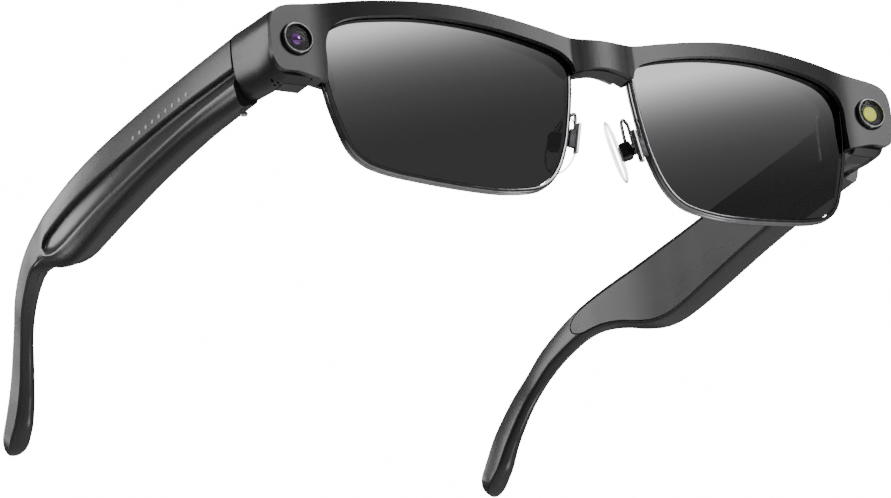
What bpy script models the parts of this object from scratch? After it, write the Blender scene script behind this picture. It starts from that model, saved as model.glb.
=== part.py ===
"""Brow-line camera glasses, modelled piece by piece.

The front is laid out square to its own datum: X runs across the face, Y runs back along the
temples and Z runs up. A root empty then levels the whole model, so that the lens rims and the
ear tips rest on one plane and the origin is under the middle of the glasses. Sizes are in
millimetres and MM turns them into metres. The wearer's left is +X.
"""
import math

import bmesh
import bpy
from mathutils import Matrix, Vector
from mathutils.geometry import interpolate_bezier

MM = 0.001

# Placing of the whole model
LEVEL_ANGLE = math.radians(2.2)
CENTRE_Y = 82.87
RIM_LIFT = 0.3

# Front: the face bulges at the bridge, wraps back to the sides and leans a little
KNEE = 7.2
BRIDGE_BULGE = 0.8
WRAP = 0.0016
WRAP_END = 60.0
EASE = 6.0
LEAN = -0.02
LEAN_HEIGHT = 31.0
COLUMN = 5.0

COVER_THICKNESS = 1.3
GAP = 0.3
LENS_FRONT = 1.75
LENS_THICKNESS = 1.7
BAR_BACK = 5.2
RIM_WIDTH = 0.9
RIM_FRONT = 1.6
RIM_DEPTH = 2.2
BRACE_DEPTH = 0.9

# End pieces
EYE_X = 69.6
EYE_Z = 29.5
RING_RADIUS = 3.45
SHELL_START = 66.1
SHELL_REAR = 13.4
SHELL_LOW = 20.9
WING_IN = 71.2
WING_REAR = 21.0
MIC_RADIUS = 0.35

# Hinges
HINGE_X = 69.0
HINGE_Y = 23.0
HINGE_LOW = 25.0
HINGE_HIGH = 34.6
KNUCKLE = 1.7
PIN = 0.65

# Temples
SCOOP = 0.85
SCOOP_END = 117.5
UNDER_DROP = 0.9
UNDER_CUT = 2.0
TIP_REACH = 4.8
COVER_START = 24.6
COVER_END = 134.5
PANEL = 1.15
WALL = 1.0
CAVITY_START = 27.0
CAVITY_END = 110.0

# Nose pads
PAD_CENTRE = Vector((6.6, 9.8, 15.0))
PAD_PIVOT = (8.35, 8.75, 15.2)
PAD_TURN = math.radians(30)
PAD_SPLAY = math.radians(17)

# Half outline of the brow cover, as (x, z, sharp): over the top, round the end piece, up the
# lens opening and along the underside of the bridge
COVER_HALF = [
    (7.4, 35.65, False), (14.6, 37.1, False), (22.4, 38.6, False), (32.8, 40.0, False),
    (43.0, 40.15, False), (55.0, 39.4, False), (66.8, 37.7, False), (72.8, 36.5, False),
    (74.9, 34.4, False), (75.4, 30.0, False), (75.3, 25.4, False), (73.6, 22.7, False),
    (69.6, 22.5, False), (66.4, 21.8, False), (63.3, 20.9, True), (63.0, 25.0, False),
    (62.8, 30.0, False), (61.1, 33.3, False), (57.4, 35.3, False), (50.8, 36.4, False),
    (41.0, 37.0, False), (29.0, 36.3, False), (19.5, 34.8, False), (11.0, 32.6, False),
    (7.9, 30.4, False), (7.0, 28.2, True), (4.0, 29.0, False),
]
COVER_MIDDLE_TOP = (0.0, 35.6, False)
COVER_MIDDLE_LOW = (0.0, 29.45, False)

# Half outline of the rear bar, which shows as a darker edge inside the lens opening
BAR_HALF = [
    (7.4, 35.5, False), (14.6, 36.95, False), (22.4, 38.45, False), (32.8, 39.85, False),
    (43.0, 40.0, False), (55.0, 39.25, False), (65.7, 37.6, True), (65.7, 21.9, True),
    (59.9, 20.6, True), (59.7, 30.2, False), (57.2, 33.0, False), (50.0, 34.9, False),
    (41.0, 35.6, False), (29.0, 35.0, False), (19.5, 33.5, False), (11.6, 31.2, False),
    (8.7, 28.6, False), (7.0, 27.2, True), (4.0, 28.7, False),
]
BAR_MIDDLE_TOP = (0.0, 35.45, False)
BAR_MIDDLE_LOW = (0.0, 29.2, False)

# Lens edge, from the outer end of the metal rim, down round the bottom and up to the nose
RIM_EDGE = [
    (63.75, 30.0, True), (63.2, 21.0, False), (61.0, 12.1, False), (58.4, 6.2, False),
    (54.0, 3.0, False), (43.8, 0.9, False), (29.1, -0.4, False), (21.3, 0.1, False),
    (16.4, 1.6, False), (12.7, 5.3, False), (10.0, 11.3, False), (8.6, 17.0, False),
    (7.5, 23.4, False), (7.0, 28.0, True),
]
# Lens edge behind the brow cover, from the nose side back to the outer side
LENS_TOP = [
    (7.0, 30.2, False), (10.0, 33.4, False), (19.0, 35.9, False), (29.0, 37.4, False),
    (41.0, 38.1, False), (51.0, 37.5, False), (58.4, 36.3, False), (62.4, 33.9, False),
]

# Temple stations: top edge (y, z), bottom edge (y, z), outer x and inner x
TEMPLE = [
    (21.4, 35.4, 21.4, 21.2, 76.5, 71.1), (40.0, 34.9, 40.0, 21.2, 77.6, 71.4),
    (60.0, 34.5, 60.0, 19.9, 78.2, 71.9), (80.0, 33.9, 80.0, 17.6, 78.4, 72.3),
    (90.0, 33.5, 90.0, 16.3, 78.1, 72.4), (97.0, 33.1, 97.0, 15.8, 77.7, 72.2),
    (103.0, 32.7, 103.0, 16.4, 77.2, 72.0), (109.0, 32.2, 109.0, 18.1, 76.6, 71.6),
    (115.0, 31.7, 115.0, 20.2, 75.9, 71.0), (121.0, 31.0, 121.0, 21.6, 74.9, 70.3),
    (127.6, 30.0, 126.5, 22.0, 73.8, 69.5), (133.9, 28.3, 131.0, 21.4, 72.6, 68.5),
    (139.8, 25.8, 135.9, 19.8, 71.2, 67.4), (145.2, 22.5, 140.8, 17.4, 69.7, 66.1),
    (149.6, 18.5, 144.9, 14.1, 68.1, 64.8), (153.6, 14.7, 148.4, 10.4, 66.8, 63.3),
    (157.3, 10.6, 151.5, 6.2, 65.7, 62.0), (160.6, 6.4, 154.5, 1.9, 65.0, 60.9),
    (163.3, 2.2, 157.3, -2.1, 64.8, 60.2), (165.4, -0.9, 160.2, -4.5, 64.7, 59.8),
]
# Height of the step line and of the ridge under the scoop, along y
STEP_LINE = [(21.4, 28.1), (50.0, 28.0), (80.0, 27.2), (104.0, 26.7), (118.0, 25.6)]
RIDGE_LINE = [(21.4, 24.9), (36.0, 24.6), (58.0, 22.9), (82.0, 21.5), (100.0, 20.2),
              (108.0, 20.8), (118.0, 24.6)]


def clear_scene():
    for old in list(bpy.data.objects):
        bpy.data.objects.remove(old, do_unlink=True)


def make_collection(name):
    collection = bpy.data.collections.new(name)
    bpy.context.scene.collection.children.link(collection)
    return collection


def make_material(name, colour, roughness, metallic=0.0, transmission=0.0):
    material = bpy.data.materials.new(name)
    material.use_nodes = True
    shader = material.node_tree.nodes["Principled BSDF"]
    shader.inputs["Base Color"].default_value = (*colour, 1.0)
    shader.inputs["Roughness"].default_value = roughness
    shader.inputs["Metallic"].default_value = metallic
    shader.inputs["Transmission Weight"].default_value = transmission
    material.diffuse_color = (*colour, 1.0)
    return material


def make_pivot(name, parent, place):
    pivot = bpy.data.objects.new(name, None)
    pivot.empty_display_size = 5 * MM
    pivot.location = Vector(place) * MM
    pivot.parent = parent
    PARTS.objects.link(pivot)
    return pivot


def add_piece(name, mesh, material, parent, place=(0, 0, 0)):
    """Put a mesh, built in the front's own frame, under its parent with its origin at place."""
    origin = Vector(place) * MM
    mesh.transform(Matrix.Translation(-origin))
    mesh.materials.clear()
    mesh.materials.append(material)
    piece = bpy.data.objects.new(name, mesh)
    piece.parent = parent
    offset = Vector() if parent is ROOT else parent.location
    piece.location = origin - offset
    PARTS.objects.link(piece)
    mesh.shade_smooth()
    mesh.set_sharp_from_angle(angle=math.radians(32))
    return piece


def add_bevel(piece, width, segments=1, angle=32):
    bevel = piece.modifiers.new("bevel", "BEVEL")
    bevel.width = width * MM
    bevel.segments = segments
    bevel.limit_method = "ANGLE"
    bevel.angle_limit = math.radians(angle)
    return bevel


def cut_with(piece, mesh):
    """Cut a piece by a mesh that was built in the same frame as the piece."""
    cutter = bpy.data.objects.new(piece.name + ".cutter", mesh)
    cutter.parent = ROOT
    cutter.hide_render = True
    cutter.display_type = "WIRE"
    CUTTERS.objects.link(cutter)
    boolean = piece.modifiers.new("cut", "BOOLEAN")
    boolean.operation = "DIFFERENCE"
    boolean.solver = "EXACT"
    boolean.object = cutter
    return cutter


def mesh_from(bm, name):
    bmesh.ops.recalc_face_normals(bm, faces=bm.faces)
    if bm.calc_volume(signed=True) < 0:
        bmesh.ops.reverse_faces(bm, faces=bm.faces)
    mesh = bpy.data.meshes.new(name)
    bm.to_mesh(mesh)
    bm.free()
    return mesh


def box_mesh(name, low, high):
    """A box between two corners, given in millimetres."""
    low, high = Vector(low) * MM, Vector(high) * MM
    size = high - low
    bm = bmesh.new()
    bmesh.ops.create_cube(bm, size=1.0)
    bmesh.ops.scale(bm, vec=[abs(s) for s in size], verts=bm.verts)
    bmesh.ops.translate(bm, vec=(low + high) / 2, verts=bm.verts)
    return mesh_from(bm, name)


def rod_mesh(name, start, end, radius, sides=20):
    """A round bar between two points, given in millimetres."""
    start, end = Vector(start) * MM, Vector(end) * MM
    axis = end - start
    bm = bmesh.new()
    bmesh.ops.create_cone(bm, cap_ends=True, segments=sides, radius1=radius * MM,
                          radius2=radius * MM, depth=axis.length)
    turn = axis.to_track_quat("Z", "Y").to_matrix().to_4x4()
    bm.transform(Matrix.Translation((start + end) / 2) @ turn)
    return mesh_from(bm, name)


def join_meshes(name, meshes):
    bm = bmesh.new()
    for mesh in meshes:
        bm.from_mesh(mesh)
    return mesh_from(bm, name)


def smooth_path(knots, steps=5, closed=False):
    """Points on a smooth path through knots (x, z, sharp); a sharp knot keeps its corner."""
    count = len(knots)
    spots = [Vector((x, z, 0)) for x, z, sharp in knots]

    def handle(index, toward):
        other = (index + toward) % count
        chord = spots[other] - spots[index]
        at_end = not closed and index in (0, count - 1)
        if knots[index][2] or at_end:
            return spots[index] + chord / 3
        along = spots[(index + 1) % count] - spots[(index - 1) % count]
        return spots[index] + toward * along.normalized() * chord.length / 3

    points = []
    for i in range(count if closed else count - 1):
        j = (i + 1) % count
        span = interpolate_bezier(spots[i], handle(i, 1), handle(j, -1), spots[j], steps + 1)
        points.extend(span[:-1])
    if not closed:
        points.append(spots[-1])
    return [(p.x, p.y) for p in points]


def offset_path(points, distance):
    """Move an open path sideways, to the left of its direction for a positive distance."""
    moved = []
    last = len(points) - 1
    for i, (x, z) in enumerate(points):
        before, after = points[max(i - 1, 0)], points[min(i + 1, last)]
        along = Vector((after[0] - before[0], after[1] - before[1])).normalized()
        moved.append((x - along.y * distance, z + along.x * distance))
    return moved


def mirror_outline(half, middle_top, middle_low):
    """The whole outline from its +X half and its two points on the middle plane."""
    other = [(-x, z, sharp) for x, z, sharp in reversed(half)]
    return [middle_top] + half + [middle_low] + other


def curve_mesh(curve):
    """The mesh that a curve makes, with its caps welded on."""
    holder = bpy.data.objects.new(curve.name, curve)
    PARTS.objects.link(holder)
    graph = bpy.context.evaluated_depsgraph_get()
    mesh = bpy.data.meshes.new_from_object(holder.evaluated_get(graph))
    bpy.data.objects.remove(holder)
    bm = bmesh.new()
    bm.from_mesh(mesh)
    bmesh.ops.remove_doubles(bm, verts=bm.verts, dist=0.002 * MM)
    return mesh_from(bm, curve.name)


def plate_mesh(name, points, front, back):
    """A flat plate: an outline in the X-Z plane, as thick as from depth front to back."""
    curve = bpy.data.curves.new(name, "CURVE")
    curve.dimensions = "2D"
    curve.fill_mode = "BOTH"
    curve.extrude = (back - front) / 2 * MM
    spline = curve.splines.new("POLY")
    spline.points.add(len(points) - 1)
    for point, (x, z) in zip(spline.points, points):
        point.co = (x * MM, z * MM, 0, 1)
    spline.use_cyclic_u = True
    mesh = curve_mesh(curve)
    middle = (front + back) / 2 * MM
    mesh.transform(Matrix.Translation((0, middle, 0)) @ Matrix.Rotation(math.pi / 2, 4, "X"))
    return mesh


def face_depth(x):
    """How far back the front face is at x: bridge bulge, wrap, then flat end pieces."""
    side = abs(x)
    if side < KNEE:
        return BRIDGE_BULGE * (1 - math.cos(math.pi * side / KNEE / 2))
    wrapped = min(side, WRAP_END) - KNEE
    depth = BRIDGE_BULGE + WRAP * wrapped ** 2
    slope = 2 * WRAP * (WRAP_END - KNEE)
    ease = min(max(side - WRAP_END, 0), EASE)
    return depth + slope * (ease - ease ** 2 / EASE / 2)


def face_point(x, depth, z):
    """A point at a depth behind the wrapped and leaning front face."""
    return Vector((x, face_depth(x) + LEAN * (LEAN_HEIGHT - z) + depth, z))


def wrap_mesh(mesh):
    """Bend a flat plate onto the face: cut it into columns, then push each point back."""
    bm = bmesh.new()
    bm.from_mesh(mesh)
    bmesh.ops.dissolve_limit(bm, angle_limit=math.radians(1), verts=bm.verts,
                             edges=bm.edges)
    reach = max(abs(v.co.x) for v in bm.verts) / MM
    steps = int(reach / COLUMN)
    for k in range(-steps, steps + 1):
        x = (abs(k) * COLUMN + 0.013) * (1 if k >= 0 else -1)
        bmesh.ops.bisect_plane(bm, geom=bm.verts[:] + bm.edges[:] + bm.faces[:],
                               plane_co=(x * MM, 0, 0), plane_no=(1, 0, 0), dist=1e-7)
    for v in bm.verts:
        v.co = face_point(v.co.x / MM, v.co.y / MM, v.co.z / MM) * MM
    bmesh.ops.triangulate(bm, faces=[f for f in bm.faces if len(f.verts) > 4])
    return mesh_from(bm, mesh.name)


def mirrored(mesh, side):
    """The mesh itself for side +1, its mirror image in X for side -1."""
    if side > 0:
        return mesh
    bm = bmesh.new()
    bm.from_mesh(mesh)
    for v in bm.verts:
        v.co.x = -v.co.x
    bmesh.ops.reverse_faces(bm, faces=bm.faces)
    return mesh_from(bm, mesh.name)


def loft_mesh(name, rings):
    """A closed skin over rings with equal numbers of points, in millimetres."""
    bm = bmesh.new()
    rows = [[bm.verts.new(Vector(p) * MM) for p in ring] for ring in rings]
    for row, following in zip(rows, rows[1:]):
        for i in range(len(row)):
            j = (i + 1) % len(row)
            bm.faces.new((row[i], row[j], following[j], following[i]))
    bm.faces.new(rows[0])
    bm.faces.new(reversed(rows[-1]))
    return mesh_from(bm, name)


def wire_mesh(name, points, radius):
    """A round wire with filled caps through points in millimetres."""
    curve = bpy.data.curves.new(name, "CURVE")
    curve.dimensions = "3D"
    curve.bevel_depth = radius * MM
    curve.bevel_resolution = 2
    curve.use_fill_caps = True
    spline = curve.splines.new("POLY")
    spline.points.add(len(points) - 1)
    for point, spot in zip(spline.points, points):
        point.co = (*(Vector(spot) * MM), 1)
    return curve_mesh(curve)


def turned_piece(name, profile, material, parent, centre, sides=32):
    """A turned piece from (radius, height) points, with its height toward the front."""
    bm = bmesh.new()
    spots = [bm.verts.new((r * MM, 0, h * MM)) for r, h in profile]
    closed = profile[0][0] > 0 and profile[-1][0] > 0
    for start, end in zip(spots, spots[1:]):
        bm.edges.new((start, end))
    if closed:
        bm.edges.new((spots[-1], spots[0]))
    mesh = bpy.data.meshes.new(name)
    bm.to_mesh(mesh)
    bm.free()
    mesh.materials.append(material)
    piece = bpy.data.objects.new(name, mesh)
    piece.parent = parent
    piece.location = Vector(centre) * MM
    piece.rotation_euler.x = math.pi / 2
    PARTS.objects.link(piece)
    screw = piece.modifiers.new("turn", "SCREW")
    screw.axis = "Z"
    screw.steps = sides
    screw.render_steps = sides
    screw.use_merge_vertices = True
    screw.merge_threshold = 0.001 * MM
    screw.use_smooth_shade = True
    return piece


def blend(table, y):
    """Value at y on a piecewise smooth line through (y, value) pairs."""
    if y <= table[0][0]:
        return table[0][1]
    for (y0, v0), (y1, v1) in zip(table, table[1:]):
        if y <= y1:
            t = (y - y0) / (y1 - y0)
            return v0 + (v1 - v0) * t
    return table[-1][1]


def temple_stations(steps=2):
    """Temple sections: the hand-set stations, eased between with a cubic."""
    rows = []
    last = len(TEMPLE) - 1
    for i in range(last):
        a, b = TEMPLE[max(i - 1, 0)], TEMPLE[i]
        c, d = TEMPLE[i + 1], TEMPLE[min(i + 2, last)]
        span, before, after = c[0] - b[0], b[0] - a[0] or c[0] - b[0], d[0] - c[0] or c[0] - b[0]
        for k in range(steps):
            t = k / steps
            row = []
            for va, vb, vc, vd in zip(a, b, c, d):
                m0 = ((vc - vb) / span + (vb - va) / before) / 2 * span
                m1 = ((vc - vb) / span + (vd - vc) / after) / 2 * span
                row.append((2 * t ** 3 - 3 * t ** 2 + 1) * vb + (t ** 3 - 2 * t ** 2 + t) * m0
                           + (3 * t ** 2 - 2 * t ** 3) * vc + (t ** 3 - t ** 2) * m1)
            rows.append(row)
    rows.append(list(TEMPLE[last]))
    return rows


def station_point(row, down, x):
    """A point of a temple section: down runs from 0 at its top edge to 1 at its bottom."""
    top_y, top_z, low_y, low_z = row[:4]
    return (x, top_y + (low_y - top_y) * down, top_z + (low_z - top_z) * down)


def temple_ring(row):
    """One section of the temple: top, scooped outer face, rounded underside, flat inside."""
    top_y, top_z, low_y, low_z, outer, inner = row
    height = math.hypot(top_y - low_y, top_z - low_z)
    corner = min(0.8, (outer - inner) * 0.24)
    c = corner / height
    fade = min(1.0, max(0.0, (SCOOP_END - top_y) / 7.0)) ** 0.5
    depth = SCOOP * fade
    tip = min(1.0, max(0.0, (top_y - 112.0) / 16.0))
    step = (top_z - blend(STEP_LINE, top_y)) / height
    ridge = (top_z - blend(RIDGE_LINE, top_y)) / height
    step += (0.36 - step) * tip
    ridge += (0.62 - ridge) * tip
    crown = 0.12 * (1 - tip)
    drop = UNDER_DROP * (1 - tip) / height
    sketch = [
        (0.0, inner + corner), (0.0, outer - corner), (0.3 * c, outer - 0.3 * corner),
        (c, outer), (step * 0.5, outer + crown), (step, outer),
        (step + 0.25 / height * (1 - tip) + 0.02 * tip, outer - depth),
        (step * 0.5 + ridge * 0.5, outer - 0.85 * depth),
        (ridge * 0.85 + step * 0.15, outer - 0.4 * depth), (ridge, outer - 0.05),
        (ridge + 0.3 * (1 - ridge), outer - 0.12 * UNDER_CUT),
        (ridge + 0.7 * (1 - ridge) - c * 0.3 * tip + 0.4 * drop, outer - 0.3 * UNDER_CUT),
        (1 - 0.25 * c + 0.9 * drop, outer - 0.65 * UNDER_CUT), (1.0 + drop, outer - UNDER_CUT),
        (1.0, inner + corner), (1 - 0.3 * c, inner + 0.3 * corner), (1 - c, inner),
        (c, inner), (0.3 * c, inner + 0.3 * corner),
    ]
    return [station_point(row, down, x) for down, x in sketch]


def temple_rings():
    rings = [temple_ring(row) for row in temple_stations()]
    final = [Vector(p) for p in rings[-1]]
    before = [Vector(p) for p in rings[-2]]
    middle = sum(final, Vector()) / len(final)
    along = (middle - sum(before, Vector()) / len(before)).normalized()
    for k in range(1, 5):
        turn = math.radians(21 * k)
        shift = along * TIP_REACH * math.sin(turn)
        rings.append([middle + (p - middle) * math.cos(turn) + shift for p in final])
    return rings


def panel_rings(start, end, margin, shallow, deep, nose):
    """Sections of a slab along the temple's inner face; it ends in an arc of length nose."""
    rings = []
    rows = [row for row in temple_stations() if start <= row[0] <= end]
    first = [v + (w - v) * (start - TEMPLE[0][0]) / (TEMPLE[1][0] - TEMPLE[0][0])
             for v, w in zip(TEMPLE[0], TEMPLE[1])]
    first[0] = first[2] = start
    if rows[0][0] - start > 1.0:
        rows.insert(0, first)
    for row in rows:
        height = math.hypot(row[0] - row[2], row[1] - row[3])
        edge = margin / height
        left = max(0.0, 1 - max(0.0, row[0] - (end - nose)) / nose)
        spread = (0.5 - edge) * math.sqrt(1 - (1 - left) ** 2) if left < 1 else 0.5 - edge
        spread = max(spread, 0.06)
        low_x, high_x = shallow(row), deep(row)
        rings.append([station_point(row, 0.5 - spread, low_x),
                      station_point(row, 0.5 - spread, high_x),
                      station_point(row, 0.5 + spread, high_x),
                      station_point(row, 0.5 + spread, low_x)])
    return rings


def build_cover():
    outline = smooth_path(mirror_outline(COVER_HALF, COVER_MIDDLE_TOP, COVER_MIDDLE_LOW),
                          steps=3, closed=True)
    mesh = wrap_mesh(plate_mesh("front_cover", outline, 0.0, COVER_THICKNESS))
    cover = add_piece("front_cover", mesh, MATT_BLACK, ROOT)
    holes = [rod_mesh("hole", (side * EYE_X, -4, EYE_Z), (side * EYE_X, 12, EYE_Z),
                      RING_RADIUS + 0.2, 40) for side in (1, -1)]
    cut_with(cover, join_meshes("front_cover.holes", holes))
    add_bevel(cover, 0.3)
    return cover


def lens_outline(grow):
    """The lens outline, grown by a distance where it sits behind the cover."""
    low = offset_path(smooth_path(RIM_EDGE, steps=3), grow - RIM_WIDTH - 0.15)
    return low + offset_path(smooth_path(LENS_TOP, steps=3), grow)


def build_rear_bar():
    outline = smooth_path(mirror_outline(BAR_HALF, BAR_MIDDLE_TOP, BAR_MIDDLE_LOW),
                          steps=3, closed=True)
    mesh = wrap_mesh(plate_mesh("rear_bar", outline, COVER_THICKNESS + GAP, BAR_BACK))
    bar = add_piece("rear_bar", mesh, SATIN_BLACK, ROOT)
    pocket_back = RIM_FRONT + RIM_DEPTH + GAP
    for side in (1, -1):
        pocket = wrap_mesh(plate_mesh("pocket", lens_outline(RIM_WIDTH + 0.6), 0.6, pocket_back))
        cut_with(bar, mirrored(pocket, side))
    return bar


def build_lens(side, name):
    back = LENS_FRONT + LENS_THICKNESS
    mesh = wrap_mesh(plate_mesh(name, lens_outline(0.0), LENS_FRONT, back))
    return add_piece(name, mirrored(mesh, side), LENS_GREY, ROOT)


def rim_section():
    """Section of the metal rim: two ridges outside, flat inside."""
    half = RIM_DEPTH / 2
    return [(0.0, -half + 0.2), (0.2, -half), (RIM_WIDTH - 0.15, -half), (RIM_WIDTH, -half + 0.2),
            (RIM_WIDTH, half - 0.2), (RIM_WIDTH - 0.15, half), (0.2, half), (0.0, half - 0.2),
            (0.0, 0.35), (0.22, 0.0), (0.0, -0.35)]


def build_rim(side, name):
    """The half rim: its section swept round the lower edge of the lens."""
    path = smooth_path(RIM_EDGE, steps=2)
    inner = offset_path(path, -1.0)
    middle = RIM_FRONT + RIM_DEPTH / 2
    rings = []
    for (x, z), (xi, zi) in zip(path, inner):
        ring = []
        for across, depth in rim_section():
            px = x + (xi - x) * across
            pz = z + (zi - z) * across
            ring.append(face_point(px, middle + depth, pz))
        rings.append(ring)
    return add_piece(name, mirrored(loft_mesh(name, rings), side), GUNMETAL, ROOT)


def build_brace():
    """The metal strip that ties both rims together behind the bridge."""
    top = [(-5.6, 31.4, True), (0.0, 32.2, False), (5.6, 31.4, True)]
    low = [(5.6, 28.3, True), (0.0, 29.5, False), (-5.6, 28.3, True)]
    outline = smooth_path(top, 5) + smooth_path(low, 5)
    mesh = wrap_mesh(plate_mesh("bridge_brace", outline, BAR_BACK + GAP,
                                BAR_BACK + GAP + BRACE_DEPTH))
    return add_piece("bridge_brace", mesh, GUNMETAL, ROOT)


def shell_ring(y, top, outer, corner, low):
    """Section of an end piece, from its top round the outer side to its underside."""
    inner = SHELL_START
    return [(inner, y, top), (outer - corner, y, top - 0.1), (outer - 0.4 * corner, y, top - 0.5),
            (outer, y, top - 0.5 - corner), (outer + 0.1, y, top - 6.0), (outer, y, low + 4.4),
            (outer - 0.3, y, low + 2.8), (outer - 1.0, y, low + 1.3), (outer - 2.1, y, low + 0.3),
            (outer - 3.4, y, low), (inner, y, low)]


def build_end_shell(side, name):
    """The housing behind an end piece: a box with a wing that runs back to the temple."""
    front = face_depth(EYE_X) + COVER_THICKNESS + GAP + 0.35
    rings = [shell_ring(front, 36.2, 75.2, 1.6, SHELL_LOW),
             shell_ring(SHELL_REAR, 36.0, 75.7, 1.2, SHELL_LOW),
             shell_ring(WING_REAR, 35.8, 76.4, 0.6, SHELL_LOW)]
    shell = add_piece(name, mirrored(loft_mesh(name, rings), side), SATIN_BLACK, ROOT)
    notch = box_mesh("notch", (SHELL_START - 2, SHELL_REAR, 10), (WING_IN, 30, 45))
    room = box_mesh("room", (67.4, 0, 22.9), (74.0, 12.4, 34.6))
    mics = [rod_mesh("mic", (x, y, 15), (x, y, 21.9), MIC_RADIUS, 8)
            for x, y in ((72.6, 9.6), (73.4, 10.4), (72.6, 11.0), (71.8, 10.3))]
    cut_with(shell, mirrored(notch, side))
    cut_with(shell, mirrored(room, side))
    cut_with(shell, mirrored(join_meshes("mics", mics), side))
    return shell


def eye_centre(side, y):
    return (side * EYE_X, y, EYE_Z)


def build_eye_ring(side, name):
    """Round bezel of the camera or the lamp; its back is behind the cover."""
    profile = [(2.85, 0.0), (3.25, 0.0), (RING_RADIUS, -0.2), (RING_RADIUS, -2.7), (2.3, -2.7),
               (2.3, -1.3)]
    return turned_piece(name, profile, GLOSS_BLACK, ROOT, eye_centre(side, 4.7))


def build_camera():
    side = -1
    build_eye_ring(side, "camera_ring")
    glass = [(0.0, -0.95), (1.2, -1.0), (2.0, -1.15), (2.0, -1.9), (0.0, -1.9)]
    turned_piece("camera_glass", glass, GLASS_DARK, ROOT, eye_centre(side, 4.7))
    barrel = [(0.0, 0.0), (1.1, -0.1), (1.6, -0.1), (2.0, -0.5), (2.0, -2.6), (0.0, -2.6)]
    turned_piece("camera_barrel", barrel, GLOSS_BLACK, ROOT, eye_centre(side, 7.9), 28)
    board = box_mesh("camera_board", (-73.6, 11.0, 25.0), (-67.8, 11.8, 34.0))
    add_piece("camera_board", board, BOARD_GREEN, ROOT)


def build_lamp():
    side = 1
    build_eye_ring(side, "lamp_ring")
    window = [(0.0, -0.9), (1.3, -0.95), (2.0, -1.1), (2.0, -1.6), (0.0, -1.6)]
    turned_piece("lamp_window", window, CLEAR, ROOT, eye_centre(side, 4.7))
    emitter = [(0.0, 0.0), (1.6, 0.0), (1.6, -0.6), (0.0, -0.6)]
    turned_piece("lamp_emitter", emitter, PHOSPHOR, ROOT, eye_centre(side, 6.6), 28)
    board = box_mesh("lamp_board", (67.8, 8.6, 25.0), (73.6, 9.4, 34.0))
    add_piece("lamp_board", board, BOARD_GREEN, ROOT)


def knuckle_mesh(name, low, high, plate):
    """A hinge knuckle with its web, from height low to high; the web reaches the plate."""
    barrel = rod_mesh(name, (HINGE_X, HINGE_Y, low), (HINGE_X, HINGE_Y, high), KNUCKLE, 24)
    web = box_mesh(name, (plate[0], min(plate[1], HINGE_Y), low),
                   (plate[2], max(plate[1], HINGE_Y), high))
    return barrel, web


def union_piece(name, meshes, material, parent, place, side):
    """One piece from overlapping meshes, joined by unions."""
    piece = add_piece(name, mirrored(meshes[0], side), material, parent, place)
    for extra in meshes[1:]:
        joined = cut_with(piece, mirrored(extra, side))
        piece.modifiers[-1].operation = "UNION"
        joined.name = name + ".joined"
    return piece


def build_hinge(side, name, temple):
    low_top, high_low = HINGE_LOW + 3.1, HINGE_HIGH - 3.1
    place = (side * HINGE_X, HINGE_Y, (HINGE_LOW + HINGE_HIGH) / 2)
    bore = rod_mesh("bore", (HINGE_X, HINGE_Y, 15), (HINGE_X, HINGE_Y, 45), PIN + GAP, 20)
    fixed = [box_mesh("leaf", (69.6, SHELL_REAR + 0.3, HINGE_LOW), (70.9, 20.9, HINGE_HIGH))]
    fixed += knuckle_mesh("low", HINGE_LOW, low_top, (69.6, 20.6, 70.7))
    fixed += knuckle_mesh("high", high_low, HINGE_HIGH, (69.6, 20.6, 70.7))
    leaf = union_piece("hinge_leaf_front_" + name, fixed, STEEL, ROOT, place, side)
    cut_with(leaf, mirrored(bore, side))
    moving = [box_mesh("plate", (69.4, 24.95, 26.0), (70.75, 32.0, 33.6))]
    moving += knuckle_mesh("mid", low_top + GAP, high_low - GAP, (69.4, 25.2, 70.7))
    arm = union_piece("hinge_leaf_temple_" + name, moving, STEEL, temple, place, side)
    cut_with(arm, mirrored(bore, side))
    shank = rod_mesh("shank", (HINGE_X, HINGE_Y, HINGE_LOW), (HINGE_X, HINGE_Y, HINGE_HIGH + 0.6),
                     PIN, 16)
    head = rod_mesh("head", (HINGE_X, HINGE_Y, HINGE_HIGH + GAP),
                    (HINGE_X, HINGE_Y, HINGE_HIGH + 1.0), 1.35, 20)
    union_piece("hinge_screw_" + name, [head, shank], STEEL, ROOT, place, side)


def build_temple(side, name, temple):
    shell_mesh = mirrored(loft_mesh("temple_shell", temple_rings()), side)
    shell = add_piece("temple_shell_" + name, shell_mesh, MATT_BLACK, temple,
                      (side * HINGE_X, HINGE_Y, EYE_Z))
    recess = panel_rings(COVER_START - 0.2, COVER_END + 0.3, 0.75, lambda row: row[5] - 1.5,
                         lambda row: row[5] + PANEL + GAP, 5.0)
    cut_with(shell, mirrored(loft_mesh("recess", recess), side))
    cavity = panel_rings(CAVITY_START, CAVITY_END, 1.9, lambda row: row[5] + PANEL - GAP,
                         lambda row: row[4] - SCOOP - WALL, 3.0)
    cut_with(shell, mirrored(loft_mesh("cavity", cavity), side))
    panel = panel_rings(COVER_START, COVER_END, 0.95, lambda row: row[5] + 0.03,
                        lambda row: row[5] + PANEL, 5.0)
    add_piece("inner_cover_" + name, mirrored(loft_mesh("inner_cover", panel), side),
              SATIN_BLACK, temple, (side * HINGE_X, HINGE_Y, EYE_Z))
    build_insides(side, name, temple)


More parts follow.
